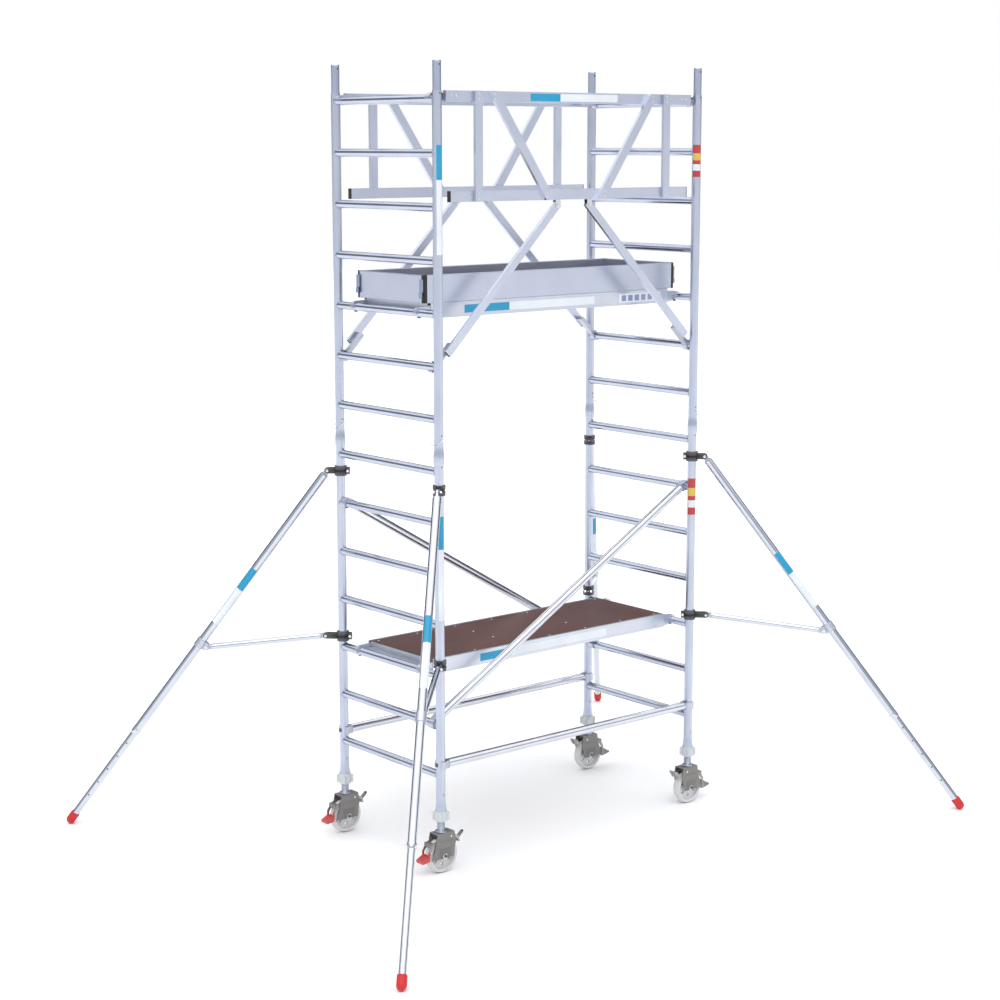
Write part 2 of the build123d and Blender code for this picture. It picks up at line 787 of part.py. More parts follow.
# ---------------------------------------------------------------- guardrails
def side_claw(centre, toward, away, side, foot_y, foot):
    """Half-ring claw over a rung, with a foot that reaches the inner face of a rail or brace."""
    foot_start, foot_end, low, high = foot
    start_y = side * guard_claw_inner_y
    plane = Plane(origin=(centre.X, start_y, centre.Z), x_dir=toward, z_dir=(0, side, 0))
    flip = 1 if plane.y_dir.dot(away) > 0 else -1
    outer = rung_r + claw_wall
    inner = rung_r + claw_fit
    with BuildPart() as part:
        with BuildSketch(plane):
            Circle(outer)
            with Locations((0, flip * (low + high) / 2)):
                Rectangle(foot_end, high - low, align=(Align.MIN, Align.CENTER))
            Circle(inner, mode=Mode.SUBTRACT)
            with Locations((-2 * outer, 0)):
                edge = Align.MAX if flip > 0 else Align.MIN
                Rectangle(2 * outer + inner, 2 * outer, align=(Align.MIN, edge), mode=Mode.SUBTRACT)
        extrude(amount=guard_claw_outer_y - guard_claw_inner_y)
        with BuildSketch(plane):
            with Locations((foot_start, flip * (low + high) / 2)):
                Rectangle(foot_end - foot_start, high - low, align=(Align.MIN, Align.CENTER))
        extrude(amount=foot_y - guard_claw_inner_y - weld_gap)
    return part.part


def guardrail(name, side):
    """Two-rail guard panel with posts, diagonals, end caps, brackets and top claws."""
    y = side * guard_y
    top_z = rung_z(2 * rungs_per_frame) + top_rail_rise
    low_z = top_z - low_rail_drop
    outer_y = side * (guard_y + rail_thickness / 2 + post_thickness / 2 + weld_gap)
    up = Vector(0, 0, 1)
    pieces = []
    for z, length in ((top_z, top_rail_length), (low_z, low_rail_length)):
        half = length / 2 - cap_thickness
        rail = box_tube(Vector(-half, y, z), Vector(half, y, z), up, rail_height, rail_thickness, rail_wall)
        pieces.append(rail)
        for end in ends.values():
            mouth = Plane(origin=(end * (half + weld_gap), y, z), x_dir=(0, 1, 0), z_dir=(end, 0, 0))
            with BuildPart() as cap:
                with BuildSketch(mouth):
                    RectangleRounded(rail_thickness, rail_height, rail_wall)
                extrude(amount=cap_thickness - weld_gap)
            pieces.append(cap.part)
    post_low = low_z - rail_height / 2
    post_high = top_z + rail_height / 2
    for end in ends.values():
        foot = Vector(end * post_x, outer_y, post_low)
        head = Vector(end * post_x, outer_y, post_high)
        pieces.append(box_tube(foot, head, Vector(1, 0, 0), post_width, post_thickness, rail_wall))
        pieces.append(guard_diagonal(end, outer_y, post_low, post_high))
        pieces += guard_bracket(end, side, post_low)
        centre = Vector(end * half_length, 0, rung_z(2 * rungs_per_frame))
        face = guard_y - rail_thickness / 2
        rail_foot = (rail_foot_start, rail_foot_end, rail_foot_low, rail_foot_high)
        pieces.append(side_claw(centre, Vector(-end, 0, 0), up, side, face, rail_foot))
    save(f"guardrail_{name}", *pieces)


def guard_diagonal(end, y, low, high):
    """Sloping stay of a guard panel, its ends cut level with the rails."""
    run = Vector(end * (diagonal_top_x - diagonal_foot_x), 0, high - low).normalized()
    foot = Vector(end * diagonal_foot_x, y, low)
    length = (high - low) / run.Z
    across = Vector(0, 1, 0).cross(run)
    with BuildPart() as part:
        with BuildSketch(Plane(origin=foot - run * post_width, x_dir=across, z_dir=run)):
            Rectangle(post_width, post_thickness)
            Rectangle(post_width - 2 * rail_wall, post_thickness - 2 * rail_wall, mode=Mode.SUBTRACT)
        extrude(amount=length + 2 * post_width)
        split(bisect_by=Plane.XY.offset(low), keep=Keep.TOP)
        split(bisect_by=Plane.XY.offset(high), keep=Keep.BOTTOM)
    return part.part


def guard_bracket(end, side, rail_low):
    """Two lugs under the lower rail and the bolt that a guard brace folds on."""
    gap = guard_brace_thickness / 2 + clear_side
    lug_r = bracket_drop * bracket_round
    pivot = Vector(end * bracket_x, side * guard_y, rail_low - bracket_drop)
    pieces = []
    for face in (-1, 1):
        y = side * guard_y + face * gap
        with BuildPart() as lug:
            with BuildSketch(Plane(origin=(pivot.X, y, pivot.Z), x_dir=(1, 0, 0), z_dir=(0, face, 0))):
                Circle(lug_r)
                height = Align.MIN if face < 0 else Align.MAX
                Rectangle(2 * lug_r, bracket_drop - weld_gap, align=(Align.CENTER, height))
                Circle(pivot_bolt_d / 2 + weld_gap, mode=Mode.SUBTRACT)
            extrude(amount=bracket_sheet)
        pieces.append(lug.part)
    grip = 2 * (gap + bracket_sheet + weld_gap)
    pieces.append(bolt(pivot, (0, 1, 0), pivot_bolt_d, grip, pivot_head_d, pivot_head))
    return pieces


def guard_brace(name, end, side):
    """Folding brace from under the lower rail to a rung, with the claw at its foot."""
    top_z = rung_z(2 * rungs_per_frame) + top_rail_rise
    pivot = Vector(end * bracket_x, side * guard_y, top_z - low_rail_drop - rail_height / 2 - bracket_drop)
    centre = Vector(end * half_length, side * guard_y, rung_z(guard_brace_rung))
    run = (centre - pivot).normalized()
    across = Vector(0, 1, 0).cross(run)
    start = pivot - run * brace_nose
    length = (centre - pivot).length - guard_brace_stop + brace_nose
    with BuildPart() as tube:
        with BuildSketch(Plane(origin=start, x_dir=across, z_dir=run)):
            RectangleRounded(guard_brace_width, guard_brace_thickness, guard_brace_wall)
            wall = 2 * guard_brace_wall
            Rectangle(guard_brace_width - wall, guard_brace_thickness - wall, mode=Mode.SUBTRACT)
        extrude(amount=length)
        with BuildSketch(Plane(origin=pivot, z_dir=(0, 1, 0))):
            Circle(pivot_bolt_d / 2 + running_clearance)
        extrude(amount=guard_brace_thickness, both=True, mode=Mode.SUBTRACT)
    face = guard_y - guard_brace_thickness / 2
    away = across if across.Z < 0 else -across
    foot_start = guard_brace_stop + brace_foot_gap
    foot = (foot_start, guard_brace_stop + brace_foot_end, brace_foot_low, brace_foot_high)
    claw_part = side_claw(centre, -run, away, side, face, foot)
    save(f"guard_brace_{name}", tube.part, claw_part)


# ---------------------------------------------------------------- castors and jacks
def side_view(x, y, outward, height=0.0):
    """Upright section plane through a corner: local x points outward, local y up."""
    return Plane(origin=(x, y, height), x_dir=(outward, 0, 0), z_dir=(0, -outward, 0))


def jack_stem(name, x, y):
    """Screw jack spindle with its flange and the castor's kingpin."""
    nut_top = fork_top - fork_crown - part_gap
    flange_low = fork_top + part_gap
    flange_high = flange_low + stem_flange
    r = stem_od / 2
    with BuildPart() as stem:
        with BuildSketch(side_view(x, y, 1)):
            with BuildLine():
                Polyline(
                    (0, nut_top - kingpin_nut),
                    (kingpin_nut_od / 2, nut_top - kingpin_nut),
                    (kingpin_nut_od / 2, nut_top),
                    (kingpin_d / 2, nut_top),
                    (kingpin_d / 2, flange_low),
                    (stem_flange_od / 2, flange_low),
                    (stem_flange_od / 2, flange_high),
                    (r, flange_high),
                    (r, flange_high + stem_length),
                    (r - stem_wall, flange_high + stem_length),
                    (r - stem_wall, flange_high + stem_flange),
                    (0, flange_high + stem_flange),
                    close=True,
                )
            make_face()
        revolve(axis=Axis((x, y, 0), (0, 0, 1)))
    save(f"jack_stem_{name}", stem.part)


def wing_corner(edge, x, y):
    """True for the upright edges at the tips of the jack nut's wings."""
    middle = edge.center()
    return Vector(middle.X - x, middle.Y - y, 0).length > nut_wing_reach - nut_wing_sheet / 2


def jack_nut(name, x, y):
    """Winged jack nut whose cup carries the upright's foot."""
    bore = stem_od / 2 + nut_bore_clearance
    cup = bell_od / 2 + nut_cup_clearance
    seat = nut_bottom + nut_seat
    rim = seat + nut_cup_depth
    with BuildPart() as nut:
        with BuildSketch(side_view(x, y, 1)):
            with BuildLine():
                Polyline(
                    (bore, nut_bottom),
                    (cup + nut_wall, nut_bottom),
                    (cup + nut_wall, rim),
                    (cup, rim),
                    (cup, seat),
                    (bore, seat),
                    close=True,
                )
            make_face()
        revolve(axis=Axis((x, y, 0), (0, 0, 1)))
        with BuildSketch(Plane.XY.offset(nut_bottom + nut_wing_rise)):
            with Locations((x, y)):
                with PolarLocations(0, 2, start_angle=nut_wing_turn, angular_range=180):
                    Rectangle(2 * nut_wing_reach, nut_wing_sheet)
                Circle(cup + nut_wall / 2, mode=Mode.SUBTRACT)
        extrude(amount=nut_wing_height)
        outer_edges = nut.edges().filter_by(Axis.Z).filter_by(lambda edge: wing_corner(edge, x, y))
        fillet(outer_edges, radius=nut_wing_sheet / 4)
    save(f"jack_nut_{name}", nut.part)


def castor_fork(name, x, y, outward):
    """Pressed fork, its axle bolt, the brake's pivot bolt and the stop block."""
    plane = side_view(x, y, outward)
    outer = fork_inner / 2 + fork_sheet
    foot = axle_z - fork_drop
    pivot_z = fork_top - brake_pivot_drop
    with BuildPart() as fork:
        with BuildSketch(plane):
            with BuildLine():
                Polyline(
                    (fork_crown_out, fork_top),
                    (fork_waist_out, axle_z + fork_waist_out_rise),
                    (fork_foot_out, foot),
                    (-fork_foot_in, foot),
                    (-fork_waist_in, axle_z + fork_waist_in_rise),
                    (-fork_crown_in, fork_top),
                    close=True,
                )
            make_face()
        extrude(amount=outer, both=True)
        with BuildSketch(plane):
            with Locations((0, fork_top - fork_crown)):
                Rectangle(4 * fork_foot_out, fork_top, align=(Align.CENTER, Align.MAX))
        extrude(amount=fork_inner / 2, both=True, mode=Mode.SUBTRACT)
        with BuildSketch(plane):
            with Locations((0, axle_z)):
                Circle(axle_d / 2 + weld_gap)
            with Locations((brake_pivot_x, pivot_z)):
                Circle(brake_pivot_d / 2 + weld_gap)
        extrude(amount=2 * outer, both=True, mode=Mode.SUBTRACT)
        with BuildSketch(Plane.XY.offset(fork_top)):
            with Locations((x, y)):
                Circle(kingpin_d / 2 + running_clearance)
        extrude(amount=-2 * fork_crown, mode=Mode.SUBTRACT)
        bends = fork.edges().filter_by(Axis.X).group_by(Axis.Z)[-1]
        fillet(bends, radius=fork_bend)
    grip = 2 * (outer + weld_gap)
    axle = bolt(Vector(x, y, axle_z), (0, 1, 0), axle_d, grip, axle_head_d, axle_head)
    place = Vector(x + outward * brake_pivot_x, y, pivot_z)
    pivot = bolt(place, (0, 1, 0), brake_pivot_d, grip, brake_head_d, brake_head)
    with BuildPart() as block:
        with BuildSketch(plane):
            with Locations((fork_block_x, fork_top - fork_crown - weld_gap)):
                Rectangle(fork_block_length, fork_block_height, align=(Align.CENTER, Align.MAX))
        extrude(amount=wheel_width / 2, both=True)
    save(f"castor_fork_{name}", fork.part, axle, pivot, block.part)


def castor_wheel(name, x, y):
    """Wheel with a hub, a dished web, a rim and a rounded tread."""
    bore = axle_d / 2 + running_clearance
    r = wheel_od / 2
    half = wheel_width / 2
    hub = hub_width / 2
    rim = r - wheel_rim_depth
    shoulder = r - wheel_shoulder
    web = hub_od / 2 + hub_flare
    with BuildPart() as wheel:
        with BuildSketch(Plane(origin=(x, y, axle_z), x_dir=(1, 0, 0), z_dir=(0, 0, 1))):
            with BuildLine():
                Polyline((bore, -hub), (bore, hub), (hub_od / 2, hub), (web, web_at_hub), (rim, web_at_rim))
                Polyline((rim, web_at_rim), (rim + rim_flare, half), (shoulder, half))
                ThreePointArc((shoulder, half), (r, 0), (shoulder, -half))
                Polyline((shoulder, -half), (rim + rim_flare, -half), (rim, -web_at_rim))
                Polyline((rim, -web_at_rim), (web, -web_at_hub), (hub_od / 2, -hub), (bore, -hub))
            make_face()
        revolve(axis=Axis((x, y, axle_z), (0, 1, 0)))
        with BuildSketch(Plane(origin=(x, y, axle_z), z_dir=(0, 1, 0))):
            with PolarLocations((rim + web) / 2, wheel_windows):
                Circle(wheel_window_d / 2)
        extrude(amount=half, both=True, mode=Mode.SUBTRACT)
    save(f"castor_wheel_{name}", wheel.part)


def brake_pedal(name, x, y, outward):
    """Rocking brake lever: two cheeks, a shoe, the pedal outside and the release inside."""
    plane = side_view(x, y, outward)
    pivot = (brake_pivot_x, fork_top - brake_pivot_drop)
    cheek_out = cheek_offset + cheek_sheet
    tapered = outward > 0
    with BuildPart() as lever:
        with BuildSketch(plane):
            with BuildLine():
                Polyline(*(cone_pedal if tapered else wedge_pedal), close=True)
            make_face()
        extrude(amount=cheek_out, both=True)
        if tapered:
            with BuildSketch(Plane(origin=(x, y, 0), x_dir=(outward, 0, 0), z_dir=(0, 0, 1))):
                with BuildLine():
                    near = cone_pedal[0][0]
                    far = cone_pedal[2][0]
                    tip = lever_knob_r
                    Polyline((near, cheek_out), (far, tip), (far, -tip), (near, -cheek_out), close=True)
                make_face()
            extrude(amount=2 * axle_z, mode=Mode.INTERSECT)
        for side in (-1, 1):
            with BuildSketch(plane.offset(side * cheek_offset)):
                with BuildLine():
                    Polyline(*cheek_outline, close=True)
                make_face()
            extrude(amount=side * cheek_sheet)
        with BuildSketch(plane):
            with Locations(shoe_centre):
                Rectangle(shoe_size, shoe_size)
            with Locations((0, axle_z)):
                Circle(wheel_od / 2 + shoe_gap, mode=Mode.SUBTRACT)
        extrude(amount=cheek_offset + cheek_sheet / 2, both=True)
        with BuildSketch(plane):
            with BuildLine():
                Polyline(*(release_fork if tapered else lever_bridge), close=True)
            make_face()
        extrude(amount=cheek_out, both=True)
        if tapered:
            slot_x, slot_z, slot_length, slot_height = release_slot
            with BuildSketch(plane):
                with Locations((slot_x, slot_z)):
                    Rectangle(slot_length, slot_height, align=(Align.MAX, Align.CENTER))
            extrude(amount=cheek_out / 2, both=True, mode=Mode.SUBTRACT)
        else:
            with BuildSketch(plane):
                with BuildLine():
                    Polyline(*lever_neck, close=True)
                make_face()
            extrude(amount=lever_neck_width / 2, both=True)
        with BuildSketch(plane):
            with Locations(pivot):
                Circle(brake_pivot_d)
        extrude(amount=cheek_out, both=True)
        with BuildSketch(plane):
            with Locations(pivot):
                Circle(brake_pivot_d / 2 + running_clearance)
        extrude(amount=2 * cheek_out, both=True, mode=Mode.SUBTRACT)
        knob = cone_knob if tapered else neck_knob
        with Locations(plane.from_local_coords((*knob, 0))):
            Sphere(lever_knob_r)
    save(f"brake_pedal_{name}", lever.part)


# ---------------------------------------------------------------- stabilisers
def tongue(plane, pivot, toward, tube_bore_r):
    """Flat eye that runs into a round plug; toward is a local direction of the plane."""
    angle = degrees(atan2(toward[1], toward[0]))
    plug_start = plane.from_local_coords(
        (pivot[0] + toward[0] * tongue_plug_start, pivot[1] + toward[1] * tongue_plug_start, 0)
    )
    run = plane.from_local_coords((toward[0], toward[1], 0)) - plane.origin
    with BuildPart() as part:
        with BuildSketch(plane):
            with Locations(Location((pivot[0], pivot[1], 0), (0, 0, angle))):
                Circle(tongue_r)
                Rectangle(tongue_length, 2 * tongue_r - tongue_waist, align=(Align.MIN, Align.CENTER))
        extrude(amount=tongue_sheet / 2, both=True)
        with BuildSketch(Plane(origin=plug_start, z_dir=run)):
            Circle(tube_bore_r - weld_gap)
        extrude(amount=tongue_plug)
        with BuildSketch(plane):
            with Locations(pivot):
                Circle(pivot_bolt_d / 2 + weld_gap)
        extrude(amount=2 * tongue_sheet, both=True, mode=Mode.SUBTRACT)
    return part.part


def stabiliser_clamp(plane, height, reach):
    """Coupler round the upright with an eye outside and a bolted jaw inside."""
    bore = upright_r + clamp_clearance
    outer = bore + clamp_wall
    centre = plane.from_local_coords((0, height, 0))
    eye_gap = tongue_sheet / 2 + part_gap
    with BuildPart() as clamp:
        with BuildSketch(plane):
            with BuildLine():
                half = clamp_height / 2
                Polyline(
                    (0, height - half),
                    (outer, height - half),
                    (outer, height - clamp_waist),
                    (outer - clamp_groove, height - clamp_waist),
                    (outer - clamp_groove, height + clamp_waist),
                    (outer, height + clamp_waist),
                    (outer, height + half),
                    (0, height + half),
                    close=True,
                )
            make_face()
        revolve(axis=Axis(centre, (0, 0, 1)))
        for side in (-1, 1):
            with BuildSketch(plane.offset(side * eye_gap)):
                with Locations((reach, height)):
                    Circle(tongue_r)
                    Rectangle(reach, 2 * tongue_r, align=(Align.MAX, Align.CENTER))
                    Circle(pivot_bolt_d / 2 + weld_gap, mode=Mode.SUBTRACT)
            extrude(amount=side * clamp_eye_wall)
            with BuildSketch(plane.offset(side * jaw_slit / 2)):
                with Locations((-jaw_reach, height)):
                    Rectangle(jaw_reach, jaw_height, align=(Align.MIN, Align.CENTER))
            extrude(amount=side * jaw_wall)
        with BuildSketch(Plane(origin=centre - Vector(0, 0, clamp_height))):
            Circle(bore)
        extrude(amount=2 * clamp_height, mode=Mode.SUBTRACT)
        with BuildSketch(plane):
            with Locations((-jaw_reach + jaw_bolt_inset, height)):
                Circle(pivot_bolt_d / 2 + weld_gap)
        extrude(amount=4 * jaw_wall, both=True, mode=Mode.SUBTRACT)
    normal = plane.z_dir
    eye = plane.from_local_coords((reach, height, 0))
    jaw = plane.from_local_coords((-jaw_reach + jaw_bolt_inset, height, 0))
    eye_grip = 2 * (eye_gap + clamp_eye_wall + weld_gap)
    jaw_grip = jaw_slit + 2 * jaw_wall + 2 * weld_gap
    eye_bolt = bolt(eye, normal, pivot_bolt_d, eye_grip, pivot_head_d, pivot_head)
    jaw_bolt = bolt(jaw, normal, pivot_bolt_d, jaw_grip, pivot_head_d, pivot_head)
    return [clamp.part, eye_bolt, jaw_bolt]


def stabiliser(name, x, y, out_x, out_y):
    """One outrigger: clamps, leg with its strut, telescopic inner leg and foot."""
    out = Vector(out_x, out_y, 0).normalized()
    plane = Plane(origin=(x, y, 0), x_dir=out, z_dir=(out.Y, -out.X, 0))
    upper = rung_z(upper_clamp_rung) + upper_clamp_above_rung
    lower = rung_z(lower_clamp_rung) + lower_clamp_above_rung
    clamps = stabiliser_clamp(plane, upper, leg_pivot_reach)
    clamps += stabiliser_clamp(plane, lower, strut_pivot_reach)
    save(f"stabiliser_clamps_{name}", *clamps)

    run = (sin(leg_lean), -cos(leg_lean))
    foot_t = (upper - foot_r) / cos(leg_lean)

    def on_leg(t):
        return plane.from_local_coords((leg_pivot_reach + run[0] * t, upper + run[1] * t, 0))

    inner_r = leg_od / 2 - leg_wall - inner_leg_clearance
    axis = (on_leg(1) - on_leg(0)).normalized()
    with BuildPart() as outer_leg:
        with BuildSketch(Plane(origin=on_leg(leg_start), z_dir=axis)):
            Circle(leg_od / 2)
            Circle(leg_od / 2 - leg_wall, mode=Mode.SUBTRACT)
        extrude(amount=leg_end - leg_start)
        with BuildSketch(Plane(origin=on_leg(lock_pin_position), z_dir=plane.z_dir)):
            Circle(lock_pin_d / 2 + weld_gap)
        extrude(amount=leg_od, both=True, mode=Mode.SUBTRACT)
    pins = []
    for side in (-1, 1):
        outwards = plane.z_dir * side
        start = on_leg(lock_pin_position) + outwards * (inner_r + part_gap)
        with BuildPart() as pin:
            with BuildSketch(Plane(origin=start, z_dir=outwards)):
                Circle(lock_pin_d / 2)
            extrude(amount=leg_od / 2 - inner_r + lock_pin_proud)
            with BuildSketch(Plane(origin=start + outwards * lock_pin_neck, z_dir=outwards)):
                Circle(lock_pin_d)
            extrude(amount=lock_pin_proud / 2)
        pins.append(pin.part)

    lug = (lug_reach, lug_height)
    root = (strut_pivot_reach, lower)
    span = (Vector(*lug) - Vector(*root)).length
    along = ((lug[0] - root[0]) / span, (lug[1] - root[1]) / span)
    strut_run = plane.from_local_coords((*along, 0)) - plane.origin
    strut_start = plane.from_local_coords((*root, 0)) + strut_run * leg_start
    strut_end = plane.from_local_coords((*lug, 0)) - strut_run * leg_start
    strut_bore = strut_od / 2 - strut_wall
    lug_place = plane.from_local_coords((*lug, 0))
    pieces = [
        outer_leg.part,
        tongue(plane, (leg_pivot_reach, upper), run, leg_od / 2 - leg_wall),
        round_tube(strut_start, strut_end, strut_od, strut_wall),
        tongue(plane, root, along, strut_bore),
        tongue(plane, lug, (-along[0], -along[1]), strut_bore),
        leg_lug(plane, run, upper, lug),
        bolt(lug_place, plane.z_dir, pivot_bolt_d, lug_grip, pivot_head_d, pivot_head),
    ]
    save(f"stabiliser_leg_{name}", *pieces, *pins)

    with BuildPart() as inner_leg:
        top = leg_end - inner_leg_hidden
        with BuildSketch(Plane(origin=on_leg(top), z_dir=axis)):
            Circle(inner_r)
            Circle(inner_r - inner_leg_wall, mode=Mode.SUBTRACT)
        extrude(amount=foot_t - foot_socket - top)
        for number in range(-lock_holes_above, lock_holes_below + 1):
            place = on_leg(lock_pin_position + number * lock_hole_pitch)
            with BuildSketch(Plane(origin=place, z_dir=plane.z_dir)):
                Circle(lock_hole_d / 2)
            extrude(amount=leg_od, both=True, mode=Mode.SUBTRACT)
    save(f"stabiliser_inner_leg_{name}", inner_leg.part)

    with BuildPart() as foot:
        with BuildSketch(Plane(origin=on_leg(foot_t), x_dir=plane.z_dir, z_dir=plane.z_dir.cross(axis))):
            with BuildLine():
                Polyline(
                    (0, foot_r),
                    (0, -foot_socket + part_gap),
                    (inner_r + weld_gap, -foot_socket + part_gap),
                    (inner_r + weld_gap, -foot_sleeve),
                    (foot_r - foot_chamfer / 2, -foot_sleeve),
                    (foot_r, -foot_sleeve + foot_chamfer),
                    (foot_r, 0),
                )
                RadiusArc((foot_r, 0), (0, foot_r), -foot_r)
            make_face()
        revolve(axis=Axis(on_leg(foot_t), axis))
    save(f"stabiliser_foot_{name}", foot.part)


def leg_lug(plane, run, upper, lug):
    """Sleeve on the leg with two ears that hold the strut's outer end."""
    from_pivot = (lug[0] - leg_pivot_reach, lug[1] - upper)
    t = from_pivot[0] * run[0] + from_pivot[1] * run[1]
    centre = (leg_pivot_reach + run[0] * t, upper + run[1] * t)
    axis = plane.from_local_coords((run[0], run[1], 0)) - plane.origin
    low = plane.from_local_coords((*centre, 0)) - axis * lug_length / 2
    angle = degrees(atan2(lug[1] - centre[1], lug[0] - centre[0]))
    drop = ((lug[0] - centre[0]) ** 2 + (lug[1] - centre[1]) ** 2) ** 0.5
    with BuildPart() as part:
        with BuildSketch(Plane(origin=low, z_dir=axis)):
            Circle(leg_od / 2 + lug_wall)
        extrude(amount=lug_length)
        for side in (-1, 1):
            with BuildSketch(plane.offset(side * (tongue_sheet / 2 + part_gap))):
                with Locations(Location((*centre, 0), (0, 0, angle))):
                    Rectangle(drop, lug_length, align=(Align.MIN, Align.CENTER))
                with Locations(lug):
                    Circle(tongue_r)
                    Circle(pivot_bolt_d / 2 + weld_gap, mode=Mode.SUBTRACT)
            extrude(amount=side * lug_ear)
        with BuildSketch(Plane(origin=low - axis * leg_od, z_dir=axis)):
            Circle(leg_od / 2 + weld_gap)
        extrude(amount=lug_length + 2 * leg_od, mode=Mode.SUBTRACT)
        with BuildSketch(plane):
            with Locations(lug):
                Circle(tongue_r + part_gap)
            with Locations(Location((*lug, 0), (0, 0, degrees(atan2(lug_slot_slope, -1))))):
                Rectangle(lug_slot_length, 2 * tongue_r, align=(Align.MIN, Align.CENTER))
        extrude(amount=tongue_sheet / 2 + part_gap, both=True, mode=Mode.SUBTRACT)
    return part.part


# ---------------------------------------------------------------- the tower
for level, level_name in enumerate(("lower", "upper")):
    for end_name, end in ends.items():
        end_frame(f"end_frame_{end_name}_{level_name}", end * half_length, level)
clips = [interlock_clip(ex * half_length, ey * half_width, ex) for ex, ey in corners.values()]
save("interlock_clips", *clips)
braces()
decks()
trapdoor()
toe_boards()
for side_name, side in sides.items():
    guardrail(side_name, side)
    for end_name, end in ends.items():
        guard_brace(f"{side_name}_{end_name}", end, side)
for corner_name, (out_x, out_y) in corners.items():
    corner_x = out_x * half_length
    corner_y = out_y * half_width
    jack_stem(corner_name, corner_x, corner_y)
    jack_nut(corner_name, corner_x, corner_y)
    castor_fork(corner_name, corner_x, corner_y, out_x)
    castor_wheel(corner_name, corner_x, corner_y)
    brake_pedal(corner_name, corner_x, corner_y, out_x)
    stabiliser(corner_name, corner_x, corner_y, out_x, out_y)
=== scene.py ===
import json
import math

import bpy
import numpy as np
from mathutils import Matrix, Vector

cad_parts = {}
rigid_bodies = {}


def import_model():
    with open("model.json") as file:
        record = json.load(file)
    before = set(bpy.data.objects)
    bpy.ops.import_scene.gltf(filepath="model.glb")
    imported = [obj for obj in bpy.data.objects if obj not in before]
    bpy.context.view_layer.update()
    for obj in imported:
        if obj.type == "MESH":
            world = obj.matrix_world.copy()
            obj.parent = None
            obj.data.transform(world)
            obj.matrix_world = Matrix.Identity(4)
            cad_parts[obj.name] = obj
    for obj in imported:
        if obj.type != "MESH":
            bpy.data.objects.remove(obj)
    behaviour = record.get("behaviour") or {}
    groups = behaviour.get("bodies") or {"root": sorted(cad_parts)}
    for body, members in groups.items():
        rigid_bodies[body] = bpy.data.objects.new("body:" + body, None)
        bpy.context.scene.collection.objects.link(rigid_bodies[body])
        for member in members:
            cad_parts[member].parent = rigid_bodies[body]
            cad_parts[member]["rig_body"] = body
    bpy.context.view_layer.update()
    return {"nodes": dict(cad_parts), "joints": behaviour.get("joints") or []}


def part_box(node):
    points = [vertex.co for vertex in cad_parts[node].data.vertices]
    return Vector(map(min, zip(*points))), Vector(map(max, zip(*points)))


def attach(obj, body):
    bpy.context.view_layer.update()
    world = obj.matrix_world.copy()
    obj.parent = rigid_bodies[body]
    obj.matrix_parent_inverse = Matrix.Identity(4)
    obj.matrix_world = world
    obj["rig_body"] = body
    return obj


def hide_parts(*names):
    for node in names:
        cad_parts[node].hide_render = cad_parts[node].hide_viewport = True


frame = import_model()
nodes = frame["nodes"]
joint_at = {j["name"]: Vector(j["pos_m"]) for j in frame["joints"] if "pos_m" in j}
scene = bpy.context.scene
mm = 0.001

CORNERS = {"front_left": (-1, -1), "back_left": (-1, 1), "front_right": (1, -1), "back_right": (1, 1)}


